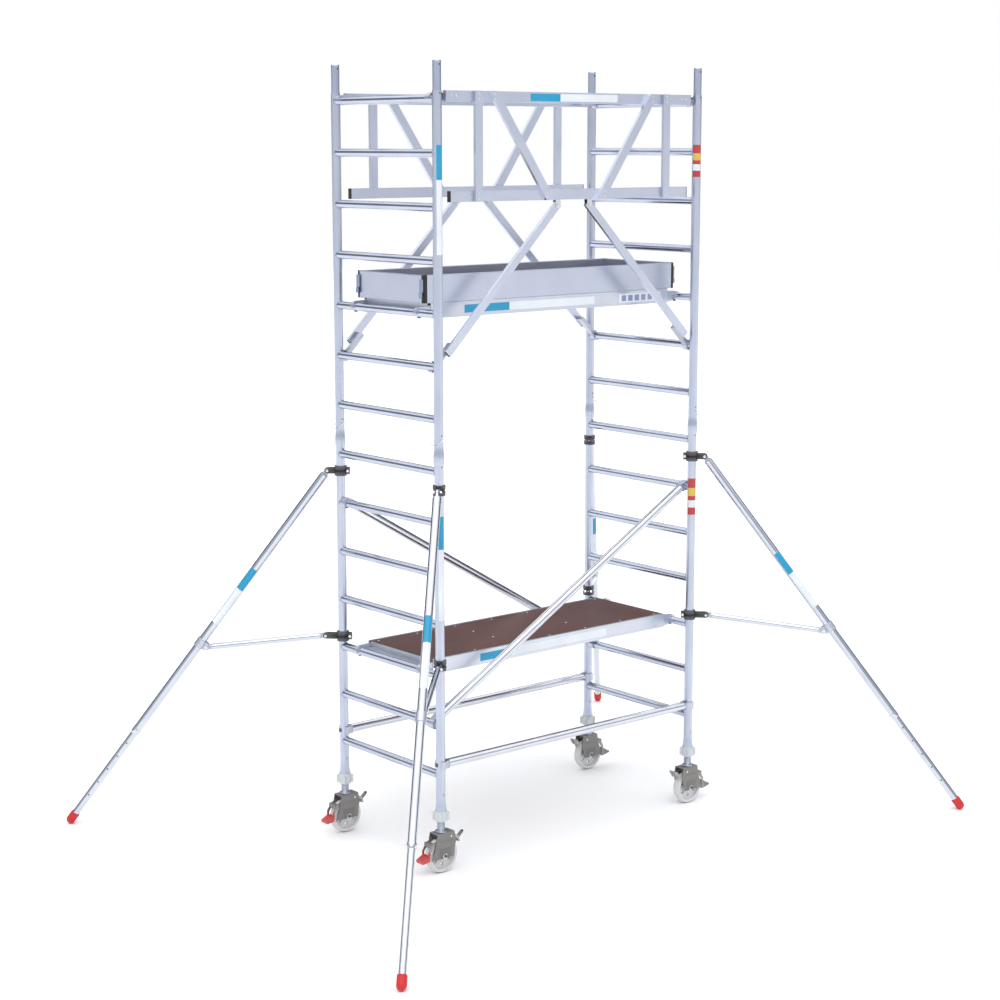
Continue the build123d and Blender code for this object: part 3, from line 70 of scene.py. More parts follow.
# ------------------------------------------------------------------ materials
def shade(name, color, metallic=0.0, rough=0.4, grain=(60, 60, 60), grain_rough=0.12, bump=0.05,
          bump_scale=900.0, wear=0.0, wear_color=(0.8, 0.8, 0.82), blotch=0.0):
    """A procedural finish: broad tone drift, fine grain in roughness and bump, and worn edges."""
    mat = bpy.data.materials.new(name)
    mat.use_nodes = True
    tree = mat.node_tree
    bsdf = tree.nodes["Principled BSDF"]
    bsdf.inputs["Metallic"].default_value = metallic
    new = tree.nodes.new
    link = tree.links.new
    coord = new("ShaderNodeTexCoord")
    place = new("ShaderNodeMapping")
    place.inputs["Scale"].default_value = grain
    link(coord.outputs["Object"], place.inputs["Vector"])
    fine = new("ShaderNodeTexNoise")
    fine.inputs["Scale"].default_value = 6.0
    fine.inputs["Detail"].default_value = 5.0
    link(place.outputs["Vector"], fine.inputs["Vector"])
    spread = new("ShaderNodeMapRange")
    spread.inputs["To Min"].default_value = max(0.02, rough - grain_rough)
    spread.inputs["To Max"].default_value = rough + grain_rough
    link(fine.outputs["Fac"], spread.inputs["Value"])
    link(spread.outputs["Result"], bsdf.inputs["Roughness"])
    broad = new("ShaderNodeTexNoise")
    broad.inputs["Scale"].default_value = 5.0
    broad.inputs["Detail"].default_value = 3.0
    link(coord.outputs["Object"], broad.inputs["Vector"])
    tone = new("ShaderNodeMix")
    tone.data_type = "RGBA"
    dark = tuple(c * (1.0 - 0.10 - blotch) for c in color)
    tone.inputs[6].default_value = (*dark, 1)
    tone.inputs[7].default_value = (*color, 1)
    drift = new("ShaderNodeMapRange")
    drift.inputs["From Min"].default_value = 0.3
    drift.inputs["From Max"].default_value = 0.65
    link(broad.outputs["Fac"], drift.inputs["Value"])
    link(drift.outputs["Result"], tone.inputs[0])
    last = tone.outputs[2]
    if wear > 0:
        geo = new("ShaderNodeNewGeometry")
        edge = new("ShaderNodeMapRange")
        edge.inputs["From Min"].default_value = 0.53
        edge.inputs["From Max"].default_value = 0.62
        edge.inputs["To Max"].default_value = wear
        link(geo.outputs["Pointiness"], edge.inputs["Value"])
        worn = new("ShaderNodeMix")
        worn.data_type = "RGBA"
        worn.inputs[7].default_value = (*wear_color, 1)
        link(last, worn.inputs[6])
        link(edge.outputs["Result"], worn.inputs[0])
        last = worn.outputs[2]
    link(last, bsdf.inputs["Base Color"])
    micro = new("ShaderNodeTexNoise")
    micro.inputs["Scale"].default_value = bump_scale
    micro.inputs["Detail"].default_value = 3.0
    link(coord.outputs["Object"], micro.inputs["Vector"])
    relief = new("ShaderNodeBump")
    relief.inputs["Strength"].default_value = bump
    relief.inputs["Distance"].default_value = 0.0004
    link(micro.outputs["Fac"], relief.inputs["Height"])
    link(relief.outputs["Normal"], bsdf.inputs["Normal"])
    return mat


ALU = (0.50, 0.55, 0.68)
mats = {
    "upright": shade("upright_tube", ALU, 1.0, 0.30, (90, 90, 4), 0.07, 0.04, wear=0.3),
    "frame": shade("frame_tube", (0.56, 0.60, 0.71), 1.0, 0.15, (90, 8, 90), 0.05, 0.02),
    "brace": shade("brace_tube", (0.72, 0.74, 0.80), 1.0, 0.15, (30, 60, 60), 0.05, 0.02),
    "cast": shade("cast_claw", (0.36, 0.42, 0.56), 1.0, 0.42, (40, 40, 40), 0.10, 0.25, 500, wear=0.5),
    "beam": shade("deck_profile", (0.62, 0.66, 0.74), 1.0, 0.34, (4, 120, 120), 0.08, 0.04, wear=0.3),
    "ply": shade("film_ply", (0.115, 0.047, 0.038), 0.0, 0.50, (12, 160, 20), 0.10, 0.35, 1400, blotch=0.12),
    "toe": shade("toe_board_sheet", (0.51, 0.56, 0.70), 1.0, 0.36, (4, 120, 90), 0.08, 0.04, wear=0.3),
    "toe_top": shade("toe_board_lip", (0.36, 0.40, 0.60), 1.0, 0.40, (4, 120, 90), 0.08, 0.04),
    "black": shade("black_plastic", (0.014, 0.014, 0.016), 0.0, 0.45, (60, 60, 60), 0.12, 0.3, 900),
    "guard": shade("guard_profile", (0.55, 0.60, 0.73), 1.0, 0.32, (6, 90, 90), 0.08, 0.04, wear=0.3),
    "zinc": shade("zinc_plate", (0.62, 0.63, 0.66), 1.0, 0.26, (50, 50, 50), 0.10, 0.10, 700, wear=0.4),
    "screw": shade("screw_steel", (0.46, 0.50, 0.60), 1.0, 0.30, (50, 50, 50), 0.10, 0.10, 700, wear=0.4),
    "bolt": shade("bolt_steel", (0.72, 0.73, 0.76), 1.0, 0.20, (80, 80, 80), 0.08, 0.08, 900, wear=0.4),
    "nylon": shade("nylon", (0.62, 0.66, 0.67), 0.0, 0.30, (30, 30, 30), 0.08, 0.10, 500),
    "wheel": shade("wheel_nylon", (0.70, 0.70, 0.69), 0.0, 0.32, (30, 30, 30), 0.08, 0.10, 500),
    "fork": shade("fork_paint", (0.195, 0.188, 0.175), 0.35, 0.38, (50, 50, 50), 0.10, 0.15, 700, wear=0.06),
    "red": shade("red_lacquer", (0.50, 0.016, 0.018), 0.0, 0.34, (40, 40, 40), 0.08, 0.10, 700, wear=0.3,
                 wear_color=(0.75, 0.2, 0.2)),
    "grey": shade("grey_lacquer", (0.20, 0.175, 0.170), 0.2, 0.38, (40, 40, 40), 0.08, 0.10, 700, wear=0.4),
    "clamp": shade("black_coat", (0.012, 0.012, 0.014), 0.1, 0.36, (50, 50, 50), 0.10, 0.30, 800, wear=0.35,
                   wear_color=(0.25, 0.25, 0.26)),
    "leg": shade("stabiliser_tube", (0.66, 0.69, 0.76), 1.0, 0.15, (60, 60, 60), 0.05, 0.02),
    "rubber": shade("foot_rubber", (0.62, 0.02, 0.022), 0.0, 0.50, (60, 60, 60), 0.12, 0.30, 1100),
    "label_blue": shade("label_blue", (0.015, 0.32, 0.55), 0.0, 0.35, (30, 30, 30), 0.06, 0.03, 900),
    "label_white": shade("label_white", (0.80, 0.84, 0.88), 0.0, 0.38, (30, 30, 30), 0.06, 0.03, 900),
    "label_red": shade("label_red", (0.52, 0.05, 0.05), 0.0, 0.38, (30, 30, 30), 0.06, 0.03, 900),
    "label_yellow": shade("label_yellow", (0.72, 0.50, 0.09), 0.0, 0.38, (30, 30, 30), 0.06, 0.03, 900),
    "weld": shade("weld_bead", (0.42, 0.46, 0.57), 1.0, 0.34, (300, 300, 300), 0.10, 0.5, 350),
    # painted shade: a near-black finish that stands for the shade inside holes and openings
    "dark": shade("painted_gap_shade", (0.03, 0.03, 0.036), 0.3, 0.5, (60, 60, 60), 0.1, 0.1, 900),
}


# ------------------------------------------------------------------ mesh tools
def piece(name, verts, faces, body, mat, smooth=True, sharp=None):
    """One visual piece that rides on a body."""
    mesh = bpy.data.meshes.new(name)
    mesh.from_pydata([tuple(v) for v in verts], [], faces)
    mesh.validate()
    mesh.update()
    obj = bpy.data.objects.new(name, mesh)
    scene.collection.objects.link(obj)
    mesh.materials.append(mats[mat])
    if smooth:
        mesh.shade_smooth()
        mesh.set_sharp_from_angle(angle=math.radians(sharp or 35))
    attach(obj, body)
    return obj


class Builder:
    """Collects simple shapes into one mesh."""

    def __init__(self):
        self.verts = []
        self.faces = []

    def add(self, verts, faces):
        base = len(self.verts)
        self.verts += [Vector(v) for v in verts]
        self.faces += [[i + base for i in f] for f in faces]

    def lathe(self, profile, origin, axis, segments=32):
        """profile is a closed loop of (radius, height along the axis)."""
        axis = Vector(axis).normalized()
        turn = axis.to_track_quat("Z", "Y").to_matrix()
        origin = Vector(origin)
        count = len(profile)
        verts = []
        faces = []
        for k in range(segments):
            a = 2 * math.pi * k / segments
            for r, h in profile:
                verts.append(origin + turn @ Vector((r * math.cos(a), r * math.sin(a), h)))
        for k in range(segments):
            n = (k + 1) % segments
            for i in range(count):
                j = (i + 1) % count
                faces.append([k * count + i, n * count + i, n * count + j, k * count + j])
        self.add(verts, faces)

    def dome(self, origin, axis, radius, height, segments=20):
        """Rivet or bolt head: a low rounded cap on a face."""
        steps = 4
        profile = [(1e-5, -0.0002), (radius, -0.0002)]
        for s in range(1, steps + 1):
            a = math.pi / 2 * s / steps
            profile.append((max(radius * math.cos(a), 1e-5), height * math.sin(a)))
        self.lathe(profile, origin, axis, segments)

    def hexagon(self, origin, axis, across, height):
        """Hexagon bolt head with a chamfered crown."""
        axis = Vector(axis).normalized()
        turn = axis.to_track_quat("Z", "Y").to_matrix()
        rings = [(across / 2, 0.0), (across / 2, height * 0.8), (across * 0.42, height)]
        verts = []
        for r, h in rings:
            for k in range(6):
                a = math.pi / 3 * k
                verts.append(Vector(origin) + turn @ Vector((r * math.cos(a), r * math.sin(a), h)))
        faces = [list(range(5, -1, -1)), list(range(12, 18))]
        for ring in range(2):
            for k in range(6):
                n = (k + 1) % 6
                faces.append([ring * 6 + k, ring * 6 + n, ring * 6 + 6 + n, ring * 6 + 6 + k])
        self.add(verts, faces)

    def block(self, centre, size, turn=None, chamfer=0.0006):
        """Box with chamfered edges."""
        turn = turn or Matrix.Identity(3)
        half = Vector(size) / 2
        c = min(chamfer, min(half) * 0.45)
        verts = []
        index = {}
        for sx in (-1, 1):
            for sy in (-1, 1):
                for sz in (-1, 1):
                    for axis in range(3):
                        p = Vector((sx * (half.x - c), sy * (half.y - c), sz * (half.z - c)))
                        p[axis] += c * (sx, sy, sz)[axis]
                        index[(sx, sy, sz, axis)] = len(verts)
                        verts.append(Vector(centre) + turn @ p)
        faces = []
        for axis in range(3):
            u, w = (axis + 1) % 3, (axis + 2) % 3
            for s in (-1, 1):
                ring = []
                for su, sw in ((-1, -1), (1, -1), (1, 1), (-1, 1)):
                    sign = [0, 0, 0]
                    sign[axis], sign[u], sign[w] = s, su, sw
                    ring.append(index[(*sign, axis)])
                faces.append(ring if s > 0 else ring[::-1])
            for su in (-1, 1):
                for sw in (-1, 1):
                    ends = []
                    for sa in (-1, 1):
                        sign = [0, 0, 0]
                        sign[axis], sign[u], sign[w] = sa, su, sw
                        ends.append((index[(*sign, u)], index[(*sign, w)]))
                    ring = [ends[0][0], ends[1][0], ends[1][1], ends[0][1]]
                    faces.append(ring if su * sw > 0 else ring[::-1])
        for sx in (-1, 1):
            for sy in (-1, 1):
                for sz in (-1, 1):
                    tri = [index[(sx, sy, sz, 0)], index[(sx, sy, sz, 1)], index[(sx, sy, sz, 2)]]
                    faces.append(tri if sx * sy * sz > 0 else tri[::-1])
        self.add(verts, faces)

    def pipe(self, points, radius, closed=False, sides=8):
        """Round section swept along points."""
        count = len(points)
        points = [Vector(p) for p in points]
        previous = None
        verts = []
        for i, p in enumerate(points):
            ahead = points[(i + 1) % count] if closed or i < count - 1 else p
            behind = points[i - 1] if closed or i > 0 else p
            run = (ahead - behind).normalized()
            if previous is None:
                previous = run.orthogonal().normalized()
            previous = (previous - run * previous.dot(run)).normalized()
            other = run.cross(previous)
            for k in range(sides):
                a = 2 * math.pi * k / sides
                verts.append(p + (previous * math.cos(a) + other * math.sin(a)) * radius)
        faces = []
        for i in range(count if closed else count - 1):
            n = (i + 1) % count
            for k in range(sides):
                m = (k + 1) % sides
                faces.append([i * sides + k, i * sides + m, n * sides + m, n * sides + k])
        if not closed:
            faces.append(list(range(sides - 1, -1, -1)))
            faces.append([(count - 1) * sides + k for k in range(sides)])
        self.add(verts, faces)

    def band(self, origin, axis, radius, facing, spread, low, high, thick=0.0004, steps=14):
        """Label wrapped round part of a tube, from low to high along its axis."""
        axis = Vector(axis).normalized()
        facing = Vector(facing)
        facing = (facing - axis * facing.dot(axis)).normalized()
        other = axis.cross(facing)
        verts = []
        for i in range(steps + 1):
            a = math.radians(spread) * (i / steps - 0.5)
            out = facing * math.cos(a) + other * math.sin(a)
            for h in (low, high):
                verts.append(Vector(origin) + axis * h + out * (radius + thick))
                verts.append(Vector(origin) + axis * h + out * (radius - thick))
        faces = []
        for i in range(steps):
            a, b = 4 * i, 4 * i + 4
            faces += [[a, b, b + 2, a + 2], [a + 1, a + 3, b + 3, b + 1]]
            faces += [[a, a + 1, b + 1, b], [a + 2, b + 2, b + 3, a + 3]]
        faces += [[0, 2, 3, 1], [4 * steps, 4 * steps + 1, 4 * steps + 3, 4 * steps + 2]]
        self.add(verts, faces)

    def make(self, name, body, mat, slot, smooth=True, sharp=None):
        return piece(name, self.verts, self.faces, body, mat, smooth, sharp)


def solids_of(obj):
    """Component number of each polygon, from corners that share a place."""
    mesh = obj.data
    co = np.zeros(len(mesh.vertices) * 3, np.float32)
    mesh.vertices.foreach_get("co", co)
    keys = np.round(co.reshape(-1, 3).astype(float), 6)
    _, same = np.unique(keys, axis=0, return_inverse=True)
    same = same.reshape(-1)
    parent = list(range(int(same.max()) + 1))

    def root(i):
        while parent[i] != i:
            parent[i] = parent[parent[i]]
            i = parent[i]
        return i

    for poly in mesh.polygons:
        vs = [root(int(same[v])) for v in poly.vertices]
        for v in vs[1:]:
            parent[root(v)] = root(vs[0])
    groups = {}
    for poly in mesh.polygons:
        groups.setdefault(root(int(same[poly.vertices[0]])), []).append(poly.index)
    return list(groups.values())


def dress(node, choose, name=None):
    """A visual copy of a node whose solids, or regions of one, have finishes of their own."""
    source = nodes[node]
    mesh = source.data.copy()
    obj = bpy.data.objects.new(name or f"{node}_skin", mesh)
    scene.collection.objects.link(obj)
    mesh.materials.clear()
    order = []
    for group in solids_of(source):
        corners = np.array([mesh.vertices[v].co for i in group for v in mesh.polygons[i].vertices])
        low, high = corners.min(0), corners.max(0)
        centre, size = (low + high) / 2, high - low
        for i in group:
            poly = mesh.polygons[i]
            key = choose(centre, size, poly.center, poly.normal)
            if key not in order:
                order.append(key)
                mesh.materials.append(mats[key])
            poly.material_index = order.index(key)
    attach(obj, source["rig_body"])
    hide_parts(node)
    return obj


def paint(node, mat):
    """Gives a carried-over CAD node its finish."""
    obj = nodes[node]
    obj.data.materials.clear()
    obj.data.materials.append(mats[mat])


# ------------------------------------------------------------------ ladder frames
HX = abs(joint_at["castor_swivel_front_right"].x)
HY = abs(joint_at["castor_swivel_front_right"].y)
UPRIGHT_R, RUNG_R = 25.4 * mm, 22.5 * mm
RUNGS = [0.553 + 0.280 * i for i in range(14)]
for side in ("left", "right"):
    for level in ("lower", "upper"):
        dress(f"end_frame_{side}_{level}",
              lambda c, s, p, n: "upright" if s[2] > 0.2 else "frame")
for side, sx in (("left", -1), ("right", 1)):
    beads = Builder()
    for z in RUNGS:
        for sy in (-1, 1):
            ring = []
            for k in range(40):
                a = 2 * math.pi * k / 40
                x = (RUNG_R + 0.5 * mm) * math.cos(a)
                drop = math.sqrt(UPRIGHT_R ** 2 - x ** 2)
                ring.append((sx * HX + x, sy * (HY - drop - 0.6 * mm), z + (RUNG_R + 0.5 * mm) * math.sin(a)))
            beads.pipe(ring, 2.6 * mm, True, 8)
    beads.make(f"weld_beads_{side}", "tower", "weld", "frame_tube")
paint("interlock_clips", "bolt")
SPIGOT_R, SPIGOT_FROM = 22.4 * mm, 4.3
# painted shade: thin near-black discs on the upright faces stand for the shade inside the holes
holes = Builder()
for sx, sy in CORNERS.values():
    for z, r in ((4.368, 4.5), (2.430, 4.0), (2.262, 4.0), (4.222, 4.0)):
        face = UPRIGHT_R if z < SPIGOT_FROM else SPIGOT_R
        holes.lathe([(1e-5, -0.3 * mm), (r * mm, -0.3 * mm), (r * mm, 0.25 * mm), (1e-5, 0.25 * mm)],
                    (sx * HX, sy * HY - face, z), (0, -1, 0), 18)
holes.make("frame_hole_shade", "tower", "dark", "frame_tube")

# ------------------------------------------------------------------ braces
for side in ("front", "back"):
    paint(f"horizontal_brace_{side}", "brace")
    paint(f"diagonal_brace_{side}", "brace")
dress("brace_claws", lambda c, s, p, n: "cast" if max(s) > 0.05 else "clamp")

# ------------------------------------------------------------------ decks
LOWER_TOP, UPPER_TOP = 1.160, 3.120  # tops of the deck boards
SIDE_FACE, END_FACE = 0.300, 0.932  # outer faces of the toe boards, from the middle
SIDE_STEPS = [-0.84 + 0.28 * i for i in range(7)]
TOE_EDGES = (3.1245, 3.2685)
DECK_RUNGS = (1.113, 3.073)
paint("lower_deck_board", "ply")
paint("upper_deck_board", "ply")
paint("lower_deck_frame", "beam")
dress("upper_deck_frame",
      lambda c, s, p, n: "zinc" if s[0] < 0.12 and s[1] < 0.05 else "beam")
dress("deck_hooks", lambda c, s, p, n: "cast" if max(s) > 0.06 else "clamp")
dress("trapdoor", lambda c, s, p, n: "ply" if s[0] > 0.2 else "zinc")
dress("toe_boards", lambda c, s, p, n: "toe")
paint("toe_board_corners", "black")
rivets = Builder()
for xs, ys, z in (
    (SIDE_STEPS, (-0.262, 0.262), LOWER_TOP),
    ((-0.2817, 0.2817), (-0.09, 0.09), LOWER_TOP),
    ((-0.85, -0.19, 0.348, 0.84), (-0.262, 0.0, 0.262), UPPER_TOP),
):
    for x in xs:
        for y in ys:
            rivets.dome((x, y, z), (0, 0, 1), 6 * mm, 2.2 * mm)
rivets.make("deck_rivets", "tower", "bolt", "deck_board")
hatch_bits = Builder()
for x in (-0.705, -0.325):
    for dx in (-8, 8):
        for dy in (-18, -36):
            hatch_bits.dome((x + dx * mm, 0.25 + dy * mm, 3.123), (0, 0, 1), 3.2 * mm, 1.6 * mm)
hatch_bits.make("trapdoor_rivets", "trapdoor", "bolt", "deck_board")

toe_bits = Builder()
for sy in (-1, 1):
    for x in SIDE_STEPS:
        toe_bits.dome((x, sy * SIDE_FACE, 3.140), (0, sy, 0), 3.5 * mm, 1.8 * mm)
for sx in (-1, 1):
    for y in (-0.2, 0.2):
        toe_bits.dome((sx * END_FACE, y, 3.140), (sx, 0, 0), 3.5 * mm, 1.8 * mm)
toe_bits.make("toe_board_rivets", "tower", "bolt", "toe_board_sheet")
ribs = Builder()
for sy in (-1, 1):
    for z in TOE_EDGES:
        ribs.block((0, sy * 0.2995, z), (1.80, 2.2 * mm, 3 * mm))
for sx in (-1, 1):
    for z in TOE_EDGES:
        ribs.block((sx * 0.9315, 0, z), (2.2 * mm, 0.53, 3 * mm))
ribs.make("toe_board_ribs", "tower", "toe", "toe_board_sheet")
fins = Builder()
for sx, sy in ((1, -1), (-1, 1), (-1, -1), (1, 1)):
    fins.block((sx * 0.939, sy * 0.284, 3.215), (10 * mm, 26 * mm, 70 * mm), chamfer=0.003)
    fins.block((sx * 0.944, sy * 0.284, 3.165), (14 * mm, 20 * mm, 30 * mm), chamfer=0.003)
fins.make("toe_board_clips", "tower", "cast", "cast_claw")
beam_lines = Builder()
for z in DECK_RUNGS:
    for sy in (-1, 1):
        for dz in (-31, -20, 36, 46):
            beam_lines.block((0, sy * 0.2998, z + dz * mm), (1.768, 1.6 * mm, 2.0 * mm), chamfer=0.0004)
beam_lines.make("beam_ribs", "tower", "beam", "deck_profile")


# ------------------------------------------------------------------ guardrails
TOP_RAIL, BOTTOM_RAIL = 4.208, 3.688
PANEL_Y = 0.442
BRACKET_FACE = 0.4746


def rail_finish(c, s, p, n):
    if s[0] < 0.008:
        return "cast" if c[2] > 4.0 else "black"
    if max(s) < 0.045:
        return "bolt"
    if s[0] < 0.05 and s[1] < 0.008:
        return "cast"
    if s[0] < 0.25 and s[2] < 0.08:
        return "cast"
    return "guard"


for side, sy in (("front", -1), ("back", 1)):
    dress(f"guardrail_{side}", rail_finish)
    bits = Builder()
    for x, heights in ((0.691, (TOP_RAIL, BOTTOM_RAIL)), (0.578, (TOP_RAIL,)), (0.214, (BOTTOM_RAIL,))):
        for sx in (-1, 1):
            for z in heights:
                for dz in (-14, 14):
                    bits.dome((sx * x, sy * BRACKET_FACE, z + dz * mm), (0, sy, 0), 5 * mm, 2.6 * mm)
    for sx in (-1, 1):
        for dx in (828, 862):
            bits.dome((sx * dx * mm, sy * 0.4546, 4.210), (0, sy, 0), 6 * mm, 3 * mm)
            bits.hexagon((sx * dx * mm, sy * 0.385, 4.205), (0, -sy, 0), 13 * mm, 6 * mm)
    bits.make(f"guardrail_fixings_{side}", "tower", "bolt", "guard_profile")
    grooves = Builder()
    for z, half in ((TOP_RAIL, 0.894), (BOTTOM_RAIL, 0.869)):
        for dz in (-25, 25):
            for face in (-1, 1):
                grooves.block((0, sy * (PANEL_Y + face * 0.0123), z + dz * mm),
                              (2 * half, 1.4 * mm, 1.6 * mm), chamfer=0.0003)
    grooves.make(f"guardrail_ribs_{side}", "tower", "guard", "guard_profile")
    for end, ex in (("left", -1), ("right", 1)):
        body = f"guard_brace_{side}_{end}"
        dress(body, lambda c, s, p, n: "guard" if max(s) > 0.5 else "cast")
        pivot = joint_at[body + "_fold"]
        run = Vector((ex, 0, -0.9977)).normalized()
        gear = Builder()
        for t in (1.020, 1.060):
            p = pivot + run * t
            gear.dome((p.x, sy * 0.4520, p.z), (0, sy, 0), 6 * mm, 3 * mm)
        gear.make(f"guard_brace_rivets_{side}_{end}", body, "bolt", "guard_profile")

# ------------------------------------------------------------------ labels, all without lettering
labels_blue, labels_white = Builder(), Builder()
BEAM_LABEL_Z = 3.081
# start, change of colour and end along X, then face, height and width in mm
for x0, x1, x2, y, z, h in (
    (-0.318, -0.103, 0.322, -0.4546, TOP_RAIL, 40),
    (-0.550, -0.322, 0.413, -SIDE_FACE, 1.121, 44),
    (-0.655, -0.336, 0.300, -SIDE_FACE, BEAM_LABEL_Z, 44),
):
    labels_blue.block(((x0 + x1) / 2, y, z), (x1 - x0, 0.8 * mm, h * mm), chamfer=0.0002)
    labels_white.block(((x1 + x2) / 2, y, z), (x2 - x1, 0.8 * mm, h * mm), chamfer=0.0002)
labels_white.block((0.66, -SIDE_FACE, BEAM_LABEL_Z), (0.33, 0.8 * mm, 52 * mm), chamfer=0.0002)
for low, high, white in ((3.776, 3.956, 3.387), (1.815, 1.995, 1.424)):
    labels_blue.band((-HX, -HY, 0), (0, 0, 1), UPRIGHT_R, (-0.17, -1, 0), 80, low, high)
    labels_white.band((-HX, -HY, 0), (0, 0, 1), UPRIGHT_R, (-0.17, -1, 0), 80, white, low)
labels_blue.make("labels_blue", "tower", "label_blue", "frame_tube")
labels_white.make("labels_white", "tower", "label_white", "frame_tube")
sticker_red, sticker_yellow, sticker_white = Builder(), Builder(), Builder()
for low, high in ((3.771, 3.954), (1.785, 2.003)):
    tall = high - low
    for part, a, b in ((sticker_red, 0.74, 1.0), (sticker_yellow, 0.52, 0.74), (sticker_red, 0.40, 0.52),
                       (sticker_white, 0.20, 0.40), (sticker_red, 0.0, 0.20)):
        part.band((HX, -HY, 0), (0, 0, 1), UPRIGHT_R, (-0.8, -1, 0), 120, low + a * tall, low + b * tall)
sticker_red.make("sticker_red", "tower", "label_red", "frame_tube")
sticker_yellow.make("sticker_yellow", "tower", "label_yellow", "frame_tube")
sticker_white.make("sticker_white", "tower", "label_white", "frame_tube")
icons = Builder()
for i in range(6):
    icons.block((0.53 + 0.052 * i, -0.3003, BEAM_LABEL_Z), (0.036, 0.9 * mm, 34 * mm), chamfer=0.0002)
icons.make("label_fields", "tower", "toe_top", "deck_profile")

# ------------------------------------------------------------------ corners
PITCH = 8 * mm
STEM_R, ROOT_R, BORE_R = 22 * mm, 20.4 * mm, 17 * mm
SCREW_FROM = 0.2393
THREAD_SIDES, THREAD_STEPS = 48, 10  # corners round the screw, and rows in one turn of it
AXLE_Z = 0.1
CHEEK_FACE = 36.1 * mm
TREAD_RINGS = ((92.5 * mm, 23.1 * mm, 1.1 * mm), (80.5 * mm, 22.8 * mm, 1.3 * mm))  # radius, half width, bead
UPPER_CLAMP, LOWER_CLAMP = 2.135, 1.173
PIVOT_REACH, STRUT_REACH = 0.075, 0.098
PEDAL_SLOPE = 0.52
LEG_R = 24 * mm
LEG_LUG = 1.27  # down the leg from its pivot
leg_lean = math.radians(36.6)


def fork_finish(c, s, p, n):
    if max(s) > 0.12:
        return "fork"
    if c[2] < 0.12:
        return "clamp"
    # painted shade: small flat solids get the near-black gap finish that stands for the shade in the fork
    # crown's open end; other small solids are bolts
    return "dark" if s[0] > 0.015 and s[1] < 0.05 else "bolt"


def leg_finish(c, s, p, n):
    return "cast" if 0.08 < max(s) < 0.14 else ("bolt" if max(s) < 0.05 else "leg")


